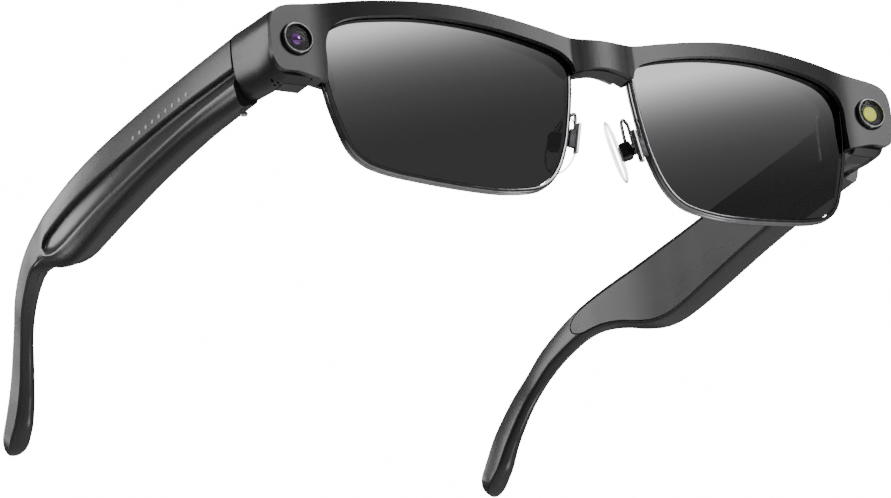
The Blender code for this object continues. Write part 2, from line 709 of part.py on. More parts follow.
def build_insides(side, name, temple):
    """What each temple holds: a circuit board, a flat battery and a small speaker."""
    sizes = {
        "main_board_": ((73.45, 29.0, 23.4), (74.35, 62.0, 32.4), BOARD_GREEN),
        "battery_": ((73.9, 64.5, 22.2), (76.0, 93.0, 31.4), FOIL),
        "speaker_": ((73.8, 95.0, 19.6), (75.0, 105.0, 29.0), STEEL),
    }
    for label, (low, high, material) in sizes.items():
        mesh = mirrored(box_mesh(label, low, high), side)
        centre = (Vector(low) + Vector(high)) / 2
        piece = add_piece(label + name, mesh, material, temple,
                          (side * centre.x, centre.y, centre.z))
        add_bevel(piece, 0.25)


def pad_frame(side):
    """Turn and place of a nose pad: its face looks back and in, its foot splays out."""
    turn = Matrix.Rotation(-side * PAD_TURN, 4, "Z")
    splay = Matrix.Rotation(-side * PAD_SPLAY, 4, "Y")
    place = Matrix.Translation(Vector((side * PAD_CENTRE.x, PAD_CENTRE.y, PAD_CENTRE.z)) * MM)
    return place @ splay @ turn


def build_pad(side, name, pivot):
    """A silicone teardrop on a metal box that rocks on the end of its wire."""
    frame = pad_frame(side)
    rings = []
    for across, scale in ((-0.75, 0.72), (-0.45, 0.93), (0.0, 1.0), (0.45, 0.93), (0.75, 0.72)):
        ring = []
        for k in range(28):
            turn = 2 * math.pi * k / 28
            narrow = 1 - 0.16 * math.sin(turn)
            ring.append((across * side, 3.8 * narrow * scale * math.cos(turn),
                         6.9 * scale * math.sin(turn)))
        rings.append(ring)
    mesh = loft_mesh("nose_pad", rings)
    mesh.transform(frame)
    place = tuple(pivot.location / MM)
    add_piece("nose_pad_" + name, mesh, SILICONE, pivot, place)
    block = box_mesh("pad_box", (side * 1.1, -1.6, -1.7), (side * 3.0, 1.6, 1.7))
    block.transform(frame)
    box = add_piece("pad_box_" + name, block, GUNMETAL, pivot, place)
    add_bevel(box, 0.45)


def build_pad_mount(side, name):
    """The plate brazed beside the rim and the looped wire that carries the pad."""
    foot = [(6.55, 2.4, 17.1), (8.05, 2.4, 10.3)]
    rings = [[(x + a, y + b, z) for a, b in ((-0.5, -0.6), (0.5, -0.6), (0.5, 0.6), (-0.5, 0.6))]
             for x, y, z in foot]
    plate = add_piece("pad_plate_" + name, mirrored(loft_mesh("pad_plate", rings), side), STEEL,
                      ROOT)
    bracket = [[(6.7, y, 14.9), (8.55, y, 15.1), (9.35, y, 11.9), (7.5, y, 11.7)]
               for y in (2.1, 2.7)]
    joined = cut_with(plate, mirrored(loft_mesh("bracket", bracket), side))
    plate.modifiers[-1].operation = "UNION"
    joined.name = "pad_plate_" + name + ".joined"
    knots = [(7.2, 3.75, 14.0), (6.75, 3.75, 16.6), (6.3, 3.9, 18.9), (5.95, 4.7, 20.2),
             (6.2, 6.0, 20.2), (7.3, 7.5, 18.9), (8.1, 8.3, 17.6)]
    tracks = [smooth_path([(k, knot[axis], False) for k, knot in enumerate(knots)], steps=3)
              for axis in range(3)]
    spots = [(side * a[1], b[1], c[1]) for a, b, c in zip(*tracks)]
    add_piece("pad_arm_" + name, wire_mesh("pad_arm", spots, 0.42), STEEL, ROOT)


def build_contact():
    """The small charging contact on the lower front corner of the camera side's temple."""
    mesh = rod_mesh("charge_contact", (-73.0, 24.2, 19.65), (-73.0, 24.2, 20.2), 0.8, 16)
    add_piece("charge_contact", mesh, STEEL, TEMPLE_PIVOTS["right"])


clear_scene()
PARTS = make_collection("smart_glasses")
CUTTERS = make_collection("cutters")

MATT_BLACK = make_material("matt_black_plastic", (0.028, 0.028, 0.030), 0.46)
SATIN_BLACK = make_material("satin_black_plastic", (0.022, 0.022, 0.024), 0.38)
GLOSS_BLACK = make_material("gloss_black_bezel", (0.012, 0.012, 0.013), 0.16)
LENS_GREY = make_material("grey_tinted_lens", (0.10, 0.10, 0.11), 0.05, transmission=0.6)
GUNMETAL = make_material("gunmetal_rim", (0.24, 0.24, 0.26), 0.24, metallic=1.0)
STEEL = make_material("polished_steel", (0.62, 0.62, 0.64), 0.18, metallic=1.0)
GLASS_DARK = make_material("coated_camera_glass", (0.02, 0.015, 0.03), 0.03)
CLEAR = make_material("clear_lamp_window", (0.9, 0.9, 0.9), 0.05, transmission=0.9)
PHOSPHOR = make_material("yellow_phosphor", (0.78, 0.80, 0.22), 0.5)
BOARD_GREEN = make_material("circuit_board_green", (0.02, 0.12, 0.06), 0.5)
FOIL = make_material("battery_foil", (0.55, 0.56, 0.58), 0.35, metallic=0.8)
SILICONE = make_material("clear_silicone", (0.85, 0.87, 0.88), 0.25, transmission=0.8)

ROOT = bpy.data.objects.new("smart_glasses_root", None)
PARTS.objects.link(ROOT)
ROOT.location = (0, -CENTRE_Y * MM, RIM_LIFT * MM)
ROOT.rotation_euler.x = LEVEL_ANGLE

SIDES = {"left": 1, "right": -1}
TEMPLE_PIVOTS = {}

build_cover()
build_rear_bar()
build_brace()
build_camera()
build_lamp()
for word, side in SIDES.items():
    build_lens(side, "lens_" + word)
    build_rim(side, "lower_rim_" + word)
    build_end_shell(side, "end_shell_" + word)
    TEMPLE_PIVOTS[word] = make_pivot("temple_pivot_" + word, ROOT,
                                     (side * HINGE_X, HINGE_Y, EYE_Z))
    build_temple(side, word, TEMPLE_PIVOTS[word])
    build_hinge(side, word, TEMPLE_PIVOTS[word])
    pad_pivot = make_pivot("pad_pivot_" + word, ROOT, (side * PAD_PIVOT[0], *PAD_PIVOT[1:]))
    build_pad_mount(side, word)
    build_pad(side, word, pad_pivot)
build_contact()
bpy.context.view_layer.update()
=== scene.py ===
"""Looks of the brow-line camera glasses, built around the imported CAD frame.

Pieces are built in the front's own square datum, in millimetres: X across the face, Y back along
the temples, Z up. The LEVEL matrix then takes them to the frame's metres, as the CAD does.
"""
import math

import bmesh
import bpy
from mathutils import Matrix, Vector
from mathutils.geometry import interpolate_bezier


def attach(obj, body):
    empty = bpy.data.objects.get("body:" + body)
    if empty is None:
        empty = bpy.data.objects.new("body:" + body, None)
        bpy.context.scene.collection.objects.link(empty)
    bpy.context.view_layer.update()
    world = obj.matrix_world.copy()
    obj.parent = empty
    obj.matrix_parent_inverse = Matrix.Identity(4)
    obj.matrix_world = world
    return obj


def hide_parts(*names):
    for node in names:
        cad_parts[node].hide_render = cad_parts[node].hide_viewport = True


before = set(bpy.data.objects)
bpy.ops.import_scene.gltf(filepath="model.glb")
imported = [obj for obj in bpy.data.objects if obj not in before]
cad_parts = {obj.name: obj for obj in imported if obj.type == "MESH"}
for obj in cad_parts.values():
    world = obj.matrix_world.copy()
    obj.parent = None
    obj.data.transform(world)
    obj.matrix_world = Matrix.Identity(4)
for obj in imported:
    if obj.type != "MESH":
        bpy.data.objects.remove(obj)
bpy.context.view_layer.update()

MM = 0.001
SIDES = {"left": 1, "right": -1}
SHARP = "sharp"

# How the datum lies in the frame, and how the front's face wraps and leans
LEVEL_ANGLE = math.radians(2.2)
CENTRE_Y = 82.87
RIM_LIFT = 0.3
KNEE = 7.2
BRIDGE_BULGE = 0.8
WRAP = 0.0016
WRAP_END = 60.0
EASE = 6.0
LEAN = -0.02
LEAN_HEIGHT = 31.0

# Front: depths are measured back from its face
COVER_THICKNESS = 1.3
GAP = 0.3
SEAM = 0.12
PLATE_BEVEL = 0.22
LENS_FRONT = 1.75
LENS_THICKNESS = 1.7
POCKET_FRONT = 0.6
POCKET_GROW = 0.6
BAR_BACK = 5.2
RIM_WIDTH = 0.9
RIM_FRONT = 1.6
RIM_DEPTH = 2.2
RIM_RIDGE = (0.55, 0.30, 0.52)  # each ridge: distance off the middle, height, half width
BRACE_DEPTH = 0.9

# Camera and lamp, in the end pieces
EYE_X, EYE_Z = 69.6, 29.5
EYE_DEPTH = 4.7
RING_RADIUS = 3.45
HOLE_PLAY = 0.12
# A thin grey metal ring stands for the highlight on the barrel's front bevel: a painted highlight
HIGHLIGHT_RING_RADIUS, HIGHLIGHT_RING_WIRE = 3.12, 0.13

# Housings behind the end pieces
SHELL_START = 66.1
SHELL_REAR = 13.4
SHELL_LOW = 20.9
FOOT_RADII = (3.4, 8.6)  # the rounded lower outer edge, across and up
WING_IN = 71.2
WING_REAR = 21.0
WING_RISE = 0.8
MIC_RADIUS = 0.35
MIC_PLACES = ((72.6, 9.6), (73.4, 10.4), (72.6, 11.0), (71.8, 10.3))

# Temples: the scooped outer face, the undercut below its ridge, and the ear tip
SCOOP = 0.95
SCOOP_END = 117.0
SCOOP_NOSE = 4.5
SCOOP_FLAT = (55.0, 50.0)  # y where the scoop's floor starts to flatten, and over what length
SCOOP_FLOOR = ((0.3, 0.84, 1.0), (0.5, 0.6, 0.98), (0.7, 0.34, 0.86), (0.85, 0.16, 0.55),
               (0.94, 0.06, 0.2))  # share of the way from step to ridge, depths front and rear
TIP_START, TIP_BLEND = 112.0, 16.0
TIP_STEP = 0.36
TIP_EDGE = 0.78
TIP_GROOVE = 0.3
TIP_REACH = 4.8
UNDER_DROP = 0.9
UNDER_CUT = 2.0
COVER_START = 24.6
COVER_END = 134.5
PANEL = 1.15
DOT_COUNT = 9
DOT_START = 40.0
DOT_PITCH = 3.0
DOT_RADIUS = 0.45
DOT_HEIGHT = 1.9

# Nose pads, and the plate and wire that carry them
PAD_CENTRE = Vector((6.6, 9.8, 15.0))
PAD_TURN = math.radians(30)
PAD_SPLAY = math.radians(17)
PAD_HALF = (0.75, 3.8, 6.9)  # half thickness, width and height
PAD_NARROW = 0.16  # how much narrower the upper end is than the middle, as a share
PAD_EDGE_HALF = (3.7, 6.8)
PAD_EDGE_RADIUS = 0.2
PLATE_ENDS = ((6.55, 2.4, 17.1), (8.05, 2.4, 10.3))
BRACKET_FACE = ((6.7, 15.4), (8.75, 15.7), (9.75, 11.6), (7.7, 11.3))
BRACKET_DEPTHS = (2.1, 2.75)
WIRE_RADIUS = 0.36
WIRE_KNOTS = [(7.2, 3.75, 14.0), (6.75, 3.75, 16.6), (6.3, 3.9, 18.9), (5.95, 4.7, 20.2),
              (6.2, 6.0, 20.2), (7.3, 7.5, 18.9), (8.1, 8.3, 17.3), (8.3, 8.6, 16.4)]

# Half outlines of the front, as (x, z) knots of smooth paths; a SHARP one keeps its corner
COVER_HALF = [
    (7.4, 35.65), (14.6, 37.1), (22.4, 38.6), (32.8, 40.0), (43.0, 40.15), (55.0, 39.4),
    (66.8, 37.7), (72.8, 36.5), (74.9, 34.4), (75.4, 30.0), (75.3, 25.4), (73.6, 22.7),
    (69.6, 22.5), (66.4, 21.8), (63.3, 20.9, SHARP), (63.0, 25.0), (62.8, 30.0), (61.1, 33.3),
    (57.4, 35.3), (50.8, 36.4), (41.0, 37.0), (29.0, 36.3), (19.5, 34.8), (11.0, 32.6),
    (7.9, 30.4), (7.0, 28.2, SHARP), (4.0, 29.0),
]
COVER_MIDDLE_TOP = (0.0, 35.6)
COVER_MIDDLE_LOW = (0.0, 29.45)
BAR_HALF = [
    (7.4, 35.5), (14.6, 36.95), (22.4, 38.45), (32.8, 39.85), (43.0, 40.0), (55.0, 39.25),
    (65.7, 37.6, SHARP), (65.7, 21.9, SHARP), (59.9, 20.6, SHARP), (59.7, 30.2), (57.2, 33.0),
    (50.0, 34.9), (41.0, 35.6), (29.0, 35.0), (19.5, 33.5), (11.6, 31.2), (8.7, 29.0),
    (7.0, 28.0, SHARP), (4.0, 28.9),
]
BAR_MIDDLE_TOP = (0.0, 35.45)
BAR_MIDDLE_LOW = (0.0, 29.2)
RIM_EDGE = [
    (63.75, 30.0, SHARP), (63.2, 21.0), (61.0, 12.1), (58.4, 6.2), (54.0, 3.0), (43.8, 0.9),
    (29.1, -0.4), (21.3, 0.1), (16.4, 1.6), (12.7, 5.3), (10.0, 11.3), (8.6, 17.0), (7.5, 23.4),
    (7.0, 28.0, SHARP),
]
LENS_TOP = [
    (7.0, 30.2), (10.0, 33.4), (19.0, 35.9), (29.0, 37.4), (41.0, 38.1), (51.0, 37.5),
    (58.4, 36.3), (62.4, 33.9),
]

# Temple sections: y and z of the top edge, y and z of the bottom edge, outer x and inner x
TEMPLE = [
    (21.4, 35.4, 21.4, 21.2, 76.5, 71.1), (40.0, 34.9, 40.0, 21.2, 77.6, 71.4),
    (60.0, 34.5, 60.0, 19.9, 78.2, 71.9), (80.0, 33.9, 80.0, 17.6, 78.4, 72.3),
    (90.0, 33.5, 90.0, 16.3, 78.1, 72.4), (97.0, 33.1, 97.0, 15.8, 77.7, 72.2),
    (103.0, 32.7, 103.0, 16.4, 77.2, 72.0), (109.0, 32.2, 109.0, 18.1, 76.6, 71.6),
    (115.0, 31.7, 115.0, 20.2, 75.9, 71.0), (121.0, 31.0, 121.0, 21.6, 74.9, 70.3),
    (127.6, 30.0, 126.5, 22.0, 73.8, 69.5), (133.9, 28.3, 131.0, 21.4, 72.6, 68.5),
    (139.8, 25.8, 135.9, 19.8, 71.2, 67.4), (145.2, 22.5, 140.8, 17.4, 69.7, 66.1),
    (149.6, 18.5, 144.9, 14.1, 68.1, 64.8), (153.6, 14.7, 148.4, 10.4, 66.8, 63.3),
    (157.3, 10.6, 151.5, 6.2, 65.7, 62.0), (160.6, 6.4, 154.5, 1.9, 65.0, 60.9),
    (163.3, 2.2, 157.3, -2.1, 64.8, 60.2), (165.4, -0.9, 160.2, -4.5, 64.7, 59.8),
]

# Heights along the temple of the step and of the ridge on its outer face, as (y, z)
STEP_LINE = [(21.4, 28.1), (50.0, 28.0), (80.0, 27.2), (104.0, 26.7), (118.0, 25.6)]
RIDGE_LINE = [(21.4, 24.9), (36.0, 24.4), (58.0, 22.9), (82.0, 21.2), (100.0, 20.2),
              (108.0, 20.4), (113.0, 21.4), (118.0, 23.1)]

# Tint and painted reflection: how they rise with height and toward the wearer's right, from dark to
# light
# The light upper corner is partly a gradient tint and partly a painted reflection of the studio, set
# apart per lens
TINT_AND_REFLECTION_SLOPE = {1: (-10.0, 0.0, 32.0), -1: (-9.0, 0.0, 36.0)}
TINT_AND_REFLECTION_SHIFT = {1: 0.18, -1: -0.74}
TINT_AND_REFLECTION_COLOURS = [(0.0, 0.04), (0.2, 0.05), (0.4, 0.076), (0.52, 0.1), (0.64, 0.14), (0.76, 0.24),
                (0.88, 0.45), (1.0, 0.9)]
MIRROR_AND_REFLECTION_STOPS = [(0.0, 0.2), (0.4, 0.45), (0.75, 0.85), (1.0, 0.92)]

# Studio and view, in metres; the view's place and lens are in millimetres
FLOOR_HEIGHT = -0.62
BACKDROP_STRENGTH = 16.0
SURROUND = [(0.0, 0.05), (0.3, 0.05), (0.5, 0.08), (0.75, 0.2), (1.0, 0.6)]
AIM = Vector((0.0, -0.03, 0.02))
MIRROR_SMOOTH = ["tinted_lens_left", "tinted_lens_right"]
SOFTBOXES = [
    ("rear_key", (-0.92, 0.8, 0.46), (0.3, 0.5), 3.4),
    ("front_key", (0.61, -0.99, 0.5), (0.36, 0.5), 3.5),
    ("tip_key", (-0.35, 1.12, 0.47), (0.25, 0.3), 1.0),
    ("edge_key", (0.45, 0.98, 0.65), (0.25, 0.25), 0.7),
    ("top", (0.1, 0.1, 1.1), (0.9, 0.5), 9.0),
    ("under", (0.34, -0.26, -0.5), (0.16, 0.16), 0.7),
]
LENS_SKY = ("lens_sky", (0.85, -1.4, 0.68), (3.4, 2.0), 21.0)
VIEW_PLACE = (-533.91, -825.60, -370.68)
VIEW_RIGHT = (0.8721, -0.4815, -0.0868)
VIEW_UP = (-0.0971, -0.3442, 0.9339)
VIEW_LENS = 206.08

LEVEL = (Matrix.Translation((0, -CENTRE_Y * MM, RIM_LIFT * MM))
         @ Matrix.Rotation(LEVEL_ANGLE, 4, "X"))


def mesh_from(bm, name):
    """A mesh with its faces pointing out; the bmesh is used up."""
    bmesh.ops.recalc_face_normals(bm, faces=bm.faces)
    if bm.calc_volume(signed=True) < 0:
        bmesh.ops.reverse_faces(bm, faces=bm.faces)
    mesh = bpy.data.meshes.new(name)
    bm.to_mesh(mesh)
    bm.free()
    return mesh


def box_mesh(name, low, high):
    """A box between two corners, given in millimetres."""
    low, high = Vector(low) * MM, Vector(high) * MM
    size = high - low
    bm = bmesh.new()
    bmesh.ops.create_cube(bm, size=1.0)
    bmesh.ops.scale(bm, vec=[abs(s) for s in size], verts=bm.verts)
    bmesh.ops.translate(bm, vec=(low + high) / 2, verts=bm.verts)
    return mesh_from(bm, name)


def rod_mesh(name, start, end, radius, sides=20):
    """A round bar between two points, given in millimetres."""
    start, end = Vector(start) * MM, Vector(end) * MM
    axis = end - start
    bm = bmesh.new()
    bmesh.ops.create_cone(bm, cap_ends=True, segments=sides, radius1=radius * MM,
                          radius2=radius * MM, depth=axis.length)
    turn = axis.to_track_quat("Z", "Y").to_matrix().to_4x4()
    bm.transform(Matrix.Translation((start + end) / 2) @ turn)
    return mesh_from(bm, name)


def join_meshes(name, meshes):
    """One mesh that holds several separate ones."""
    bm = bmesh.new()
    for mesh in meshes:
        bm.from_mesh(mesh)
    return mesh_from(bm, name)


def smooth_path(knots, steps=5, closed=False):
    """Points on a smooth path through knots (x, z); a knot (x, z, SHARP) keeps its corner."""
    count = len(knots)
    spots = [Vector((*knot[:2], 0)) for knot in knots]

    def handle(index, toward):
        other = (index + toward) % count
        chord = spots[other] - spots[index]
        at_end = not closed and index in (0, count - 1)
        if SHARP in knots[index] or at_end:
            return spots[index] + chord / 3
        along = spots[(index + 1) % count] - spots[(index - 1) % count]
        return spots[index] + toward * along.normalized() * chord.length / 3

    points = []
    for i in range(count if closed else count - 1):
        j = (i + 1) % count
        span = interpolate_bezier(spots[i], handle(i, 1), handle(j, -1), spots[j], steps + 1)
        points.extend(span[:-1])
    if not closed:
        points.append(spots[-1])
    return [(p.x, p.y) for p in points]


def offset_path(points, distance):
    """Move an open path sideways, to the left of its direction for a positive distance."""
    moved = []
    last = len(points) - 1
    for i, (x, z) in enumerate(points):
        before, after = points[max(i - 1, 0)], points[min(i + 1, last)]
        along = Vector((after[0] - before[0], after[1] - before[1])).normalized()
        moved.append((x - along.y * distance, z + along.x * distance))
    return moved


def mirror_outline(half, middle_top, middle_low):
    """The whole outline from its +X half and its two points on the middle plane."""
    other = [(-knot[0], *knot[1:]) for knot in reversed(half)]
    return [middle_top] + half + [middle_low] + other


def face_depth(x):
    """How far back the front face is at x: bridge bulge, wrap, then flat end pieces."""
    side = abs(x)
    if side < KNEE:
        return BRIDGE_BULGE * (1 - math.cos(math.pi * side / KNEE / 2))
    wrapped = min(side, WRAP_END) - KNEE
    depth = BRIDGE_BULGE + WRAP * wrapped ** 2
    slope = 2 * WRAP * (WRAP_END - KNEE)
    ease = min(max(side - WRAP_END, 0), EASE)
    return depth + slope * (ease - ease ** 2 / EASE / 2)


def face_point(x, depth, z):
    """A point at a depth behind the wrapped and leaning front face."""
    return Vector((x, face_depth(x) + LEAN * (LEAN_HEIGHT - z) + depth, z))


def mirrored(mesh, side):
    """The mesh itself for side +1, its mirror image in X for side -1."""
    if side > 0:
        return mesh
    bm = bmesh.new()
    bm.from_mesh(mesh)
    for v in bm.verts:
        v.co.x = -v.co.x
    bmesh.ops.reverse_faces(bm, faces=bm.faces)
    return mesh_from(bm, mesh.name)


def loft_mesh(name, rings):
    """A closed skin over rings with equal numbers of points, in millimetres."""
    bm = bmesh.new()
    rows = [[bm.verts.new(Vector(p) * MM) for p in ring] for ring in rings]
    for row, following in zip(rows, rows[1:]):
        for i in range(len(row)):
            j = (i + 1) % len(row)
            bm.faces.new((row[i], row[j], following[j], following[i]))
    bm.faces.new(rows[0])
    bm.faces.new(reversed(rows[-1]))
    return mesh_from(bm, name)


def station_point(row, down, x):
    """A point of a temple section: down runs from 0 at its top edge to 1 at its bottom."""
    top_y, top_z, low_y, low_z = row[:4]
    return (x, top_y + (low_y - top_y) * down, top_z + (low_z - top_z) * down)


def curve_mesh(curve):
    """The mesh that a curve makes, with its caps welded on."""
    holder = bpy.data.objects.new(curve.name, curve)
    bpy.context.scene.collection.objects.link(holder)
    graph = bpy.context.evaluated_depsgraph_get()
    mesh = bpy.data.meshes.new_from_object(holder.evaluated_get(graph))
    bpy.data.objects.remove(holder)
    bm = bmesh.new()
    bm.from_mesh(mesh)
    bmesh.ops.remove_doubles(bm, verts=bm.verts, dist=0.002 * MM)
    return mesh_from(bm, curve.name)


def plate_mesh(name, outline, front, back):
    """A flat plate: an outline in the X-Z plane, as thick as from depth front to back."""
    curve = bpy.data.curves.new(name, "CURVE")
    curve.dimensions = "2D"
    curve.fill_mode = "BOTH"
    curve.extrude = (back - front) / 2 * MM
    spline = curve.splines.new("POLY")
    spline.points.add(len(outline) - 1)
    for point, (x, z) in zip(spline.points, outline):
        point.co = (x * MM, z * MM, 0, 1)
    spline.use_cyclic_u = True
    mesh = curve_mesh(curve)
    middle = (front + back) / 2 * MM
    mesh.transform(Matrix.Translation((0, middle, 0)) @ Matrix.Rotation(math.pi / 2, 4, "X"))
    return mesh


def wire_mesh(name, spots, radius, resolution=4):
    """A round wire with filled caps through points in millimetres."""
    curve = bpy.data.curves.new(name, "CURVE")
    curve.dimensions = "3D"
    curve.bevel_depth = radius * MM
    curve.bevel_resolution = resolution
    curve.use_fill_caps = True
    spline = curve.splines.new("POLY")
    spline.points.add(len(spots) - 1)
    for point, spot in zip(spline.points, spots):
        point.co = (*(Vector(spot) * MM), 1)
    return curve_mesh(curve)


def bend(mesh, column=1.25):
    """Bend a flat plate onto the wrapped face, after cutting it into narrow columns."""
    bm = bmesh.new()
    bm.from_mesh(mesh)
    bmesh.ops.dissolve_limit(bm, angle_limit=math.radians(1), verts=bm.verts, edges=bm.edges)
    reach = int(max(abs(v.co.x) for v in bm.verts) / MM / column)
    for k in range(-reach, reach + 1):
        bmesh.ops.bisect_plane(bm, geom=bm.verts[:] + bm.edges[:] + bm.faces[:], dist=1e-7,
                               plane_co=((k * column + 0.013) * MM, 0, 0), plane_no=(1, 0, 0))
    for v in bm.verts:
        v.co = face_point(v.co.x / MM, v.co.y / MM, v.co.z / MM) * MM
    return mesh_from(bm, mesh.name)


def eased(table):
    """A smooth version of a (y, value) table, as more finely spaced pairs."""
    return smooth_path(table, steps=8)


def along_table(table, y):
    """Value at y on a straight-line table of (y, value) pairs."""
    for (y0, v0), (y1, v1) in zip(table, table[1:]):
        if y <= y1:
            return v0 + (v1 - v0) * max(0.0, (y - y0) / (y1 - y0))
    return table[-1][1]


STEP_CURVE, RIDGE_CURVE = eased(STEP_LINE), eased(RIDGE_LINE)


def smooth(mesh, angle):
    """Smooth shading, with edges sharper than the angle kept crisp."""
    mesh.shade_smooth()
    mesh.set_sharp_from_angle(angle=math.radians(angle))


def add_bevel(piece, width, segments=3):
    """Rounded edges; the width is in millimetres."""
    bevel = piece.modifiers.new("bevel", "BEVEL")
    bevel.width = width * MM
    bevel.segments = segments
    bevel.limit_method = "ANGLE"
    bevel.angle_limit = math.radians(32)
    bevel.harden_normals = True


def add_piece(name, mesh, material, body, stands_for=(), bevel=0.0, cut=(), angle=35):
    """Show a mesh built in the front's datum as a piece that rides on a CAD body."""
    piece = bpy.data.objects.new(name, mesh)
    bpy.context.scene.collection.objects.link(piece)
    if cut:
        cut_away(piece, cut)
        mesh = piece.data
    mesh.transform(LEVEL)
    smooth(mesh, angle)
    mesh.materials.clear()
    mesh.materials.append(material)
    for face in mesh.polygons:
        face.material_index = 0
    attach(piece, body)
    if stands_for:
        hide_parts(*stands_for)
    if bevel:
        add_bevel(piece, bevel)
    return piece


def cut_away(piece, meshes):
    """Cut a piece by each mesh, and keep only the result."""
    for mesh in meshes:
        cutter = bpy.data.objects.new("cutter", mesh)
        bpy.context.scene.collection.objects.link(cutter)
        boolean = piece.modifiers.new("cut", "BOOLEAN")
        boolean.solver = "EXACT"
        boolean.object = cutter
        graph = bpy.context.evaluated_depsgraph_get()
        result = bpy.data.meshes.new_from_object(piece.evaluated_get(graph))
        piece.modifiers.clear()
        piece.data = result
        bpy.data.objects.remove(cutter)


def turned_mesh(name, profile, centre):
    """A turned solid from (radius, height) points, its height toward the front."""
    bm = bmesh.new()
    spots = [bm.verts.new((r * MM, 0, h * MM)) for r, h in profile]
    edges = [bm.edges.new(pair) for pair in zip(spots, spots[1:])]
    if profile[0][0] > 0 and profile[-1][0] > 0:
        edges.append(bm.edges.new((spots[-1], spots[0])))
    bmesh.ops.spin(bm, geom=spots + edges, cent=(0, 0, 0), axis=(0, 0, 1),
                   angle=2 * math.pi, steps=96, use_merge=True)
    bmesh.ops.remove_doubles(bm, verts=bm.verts, dist=0.0005 * MM)
    bm.transform(Matrix.Translation(Vector(centre) * MM) @ Matrix.Rotation(math.pi / 2, 4, "X"))
    return mesh_from(bm, name)


def new_material(name, colour, roughness, metallic=0.0, **sockets):
    """A Principled material with its plain values on the shader's own sockets."""
    material = bpy.data.materials.new(name)
    material.use_nodes = True
    shader = material.node_tree.nodes["Principled BSDF"]
    shader.inputs["Base Color"].default_value = (*colour, 1.0)
    shader.inputs["Roughness"].default_value = roughness
    shader.inputs["Metallic"].default_value = metallic
    for socket, value in sockets.items():
        shader.inputs[socket.replace("_", " ")].default_value = value
    return material, shader


def noise(material, scale, detail=2.0, stretch=(1, 1, 1)):
    """Solid noise that stays fixed to the piece; scale is in cycles per metre."""
    tree = material.node_tree
    coords = tree.nodes.new("ShaderNodeTexCoord")
    mapping = tree.nodes.new("ShaderNodeMapping")
    texture = tree.nodes.new("ShaderNodeTexNoise")
    mapping.inputs["Scale"].default_value = stretch
    texture.inputs["Scale"].default_value = scale
    texture.inputs["Detail"].default_value = detail
    tree.links.new(coords.outputs["Object"], mapping.inputs["Vector"])
    tree.links.new(mapping.outputs["Vector"], texture.inputs["Vector"])
    return texture.outputs["Fac"]


def vary(material, source, target, low, high):
    """Drive a number from noise, from low to high."""
    tree = material.node_tree
    spread = tree.nodes.new("ShaderNodeMapRange")
    spread.inputs["From Min"].default_value = 0.3
    spread.inputs["From Max"].default_value = 0.7
    spread.inputs["To Min"].default_value = low
    spread.inputs["To Max"].default_value = high
    tree.links.new(source, spread.inputs["Value"])
    tree.links.new(spread.outputs["Result"], target)


def vary_colour(material, source, target, dark, light):
    """Drive a colour from noise, from dark to light."""
    tree = material.node_tree
    ramp = tree.nodes.new("ShaderNodeValToRGB")
    ramp.color_ramp.elements[0].position = 0.35
    ramp.color_ramp.elements[1].position = 0.65
    ramp.color_ramp.elements[0].color = (*dark, 1)
    ramp.color_ramp.elements[1].color = (*light, 1)
    tree.links.new(source, ramp.inputs["Fac"])
    tree.links.new(ramp.outputs["Color"], target)


def add_bump(material, shader, source, distance, strength):
    """Fine relief from noise; the distance is in millimetres."""
    tree = material.node_tree
    bump = tree.nodes.new("ShaderNodeBump")
    bump.inputs["Strength"].default_value = strength
    bump.inputs["Distance"].default_value = distance * MM
    tree.links.new(source, bump.inputs["Height"])
    tree.links.new(bump.outputs["Normal"], shader.inputs["Normal"])


def moulded(name, shade, roughness, grain=2600.0, depth=0.012, spread=0.05, **sockets):
    """Moulded plastic: fine tool grain, with slow changes of gloss and tone from the flow."""
    material, shader = new_material(name, (shade,) * 3, roughness, **sockets)
    flow = noise(material, 90.0, 3.0, (1, 0.35, 1))
    vary(material, flow, shader.inputs["Roughness"], roughness - spread, roughness + spread)
    dark = (shade * 0.88, shade * 0.88, shade * 0.9)
    light = (shade * 1.12, shade * 1.11, shade * 1.12)
    vary_colour(material, flow, shader.inputs["Base Color"], dark, light)
    add_bump(material, shader, noise(material, grain, 2.0), depth, 0.35)
    return material


def polished(name, shade, roughness, brushed=(1, 1, 1), scale=700.0, **sockets):
    """Plated or polished metal with faint buffing marks."""
    material, shader = new_material(name, shade, roughness, 1.0, **sockets)
    marks = noise(material, scale, 3.0, brushed)
    vary(material, marks, shader.inputs["Roughness"], roughness * 0.7, roughness * 1.35)
    vary_colour(material, marks, shader.inputs["Base Color"],
                tuple(0.9 * c for c in shade), tuple(min(1.0, 1.08 * c) for c in shade))
    add_bump(material, shader, noise(material, scale * 1.7, 2.0, brushed), 0.002, 0.3)
    return material


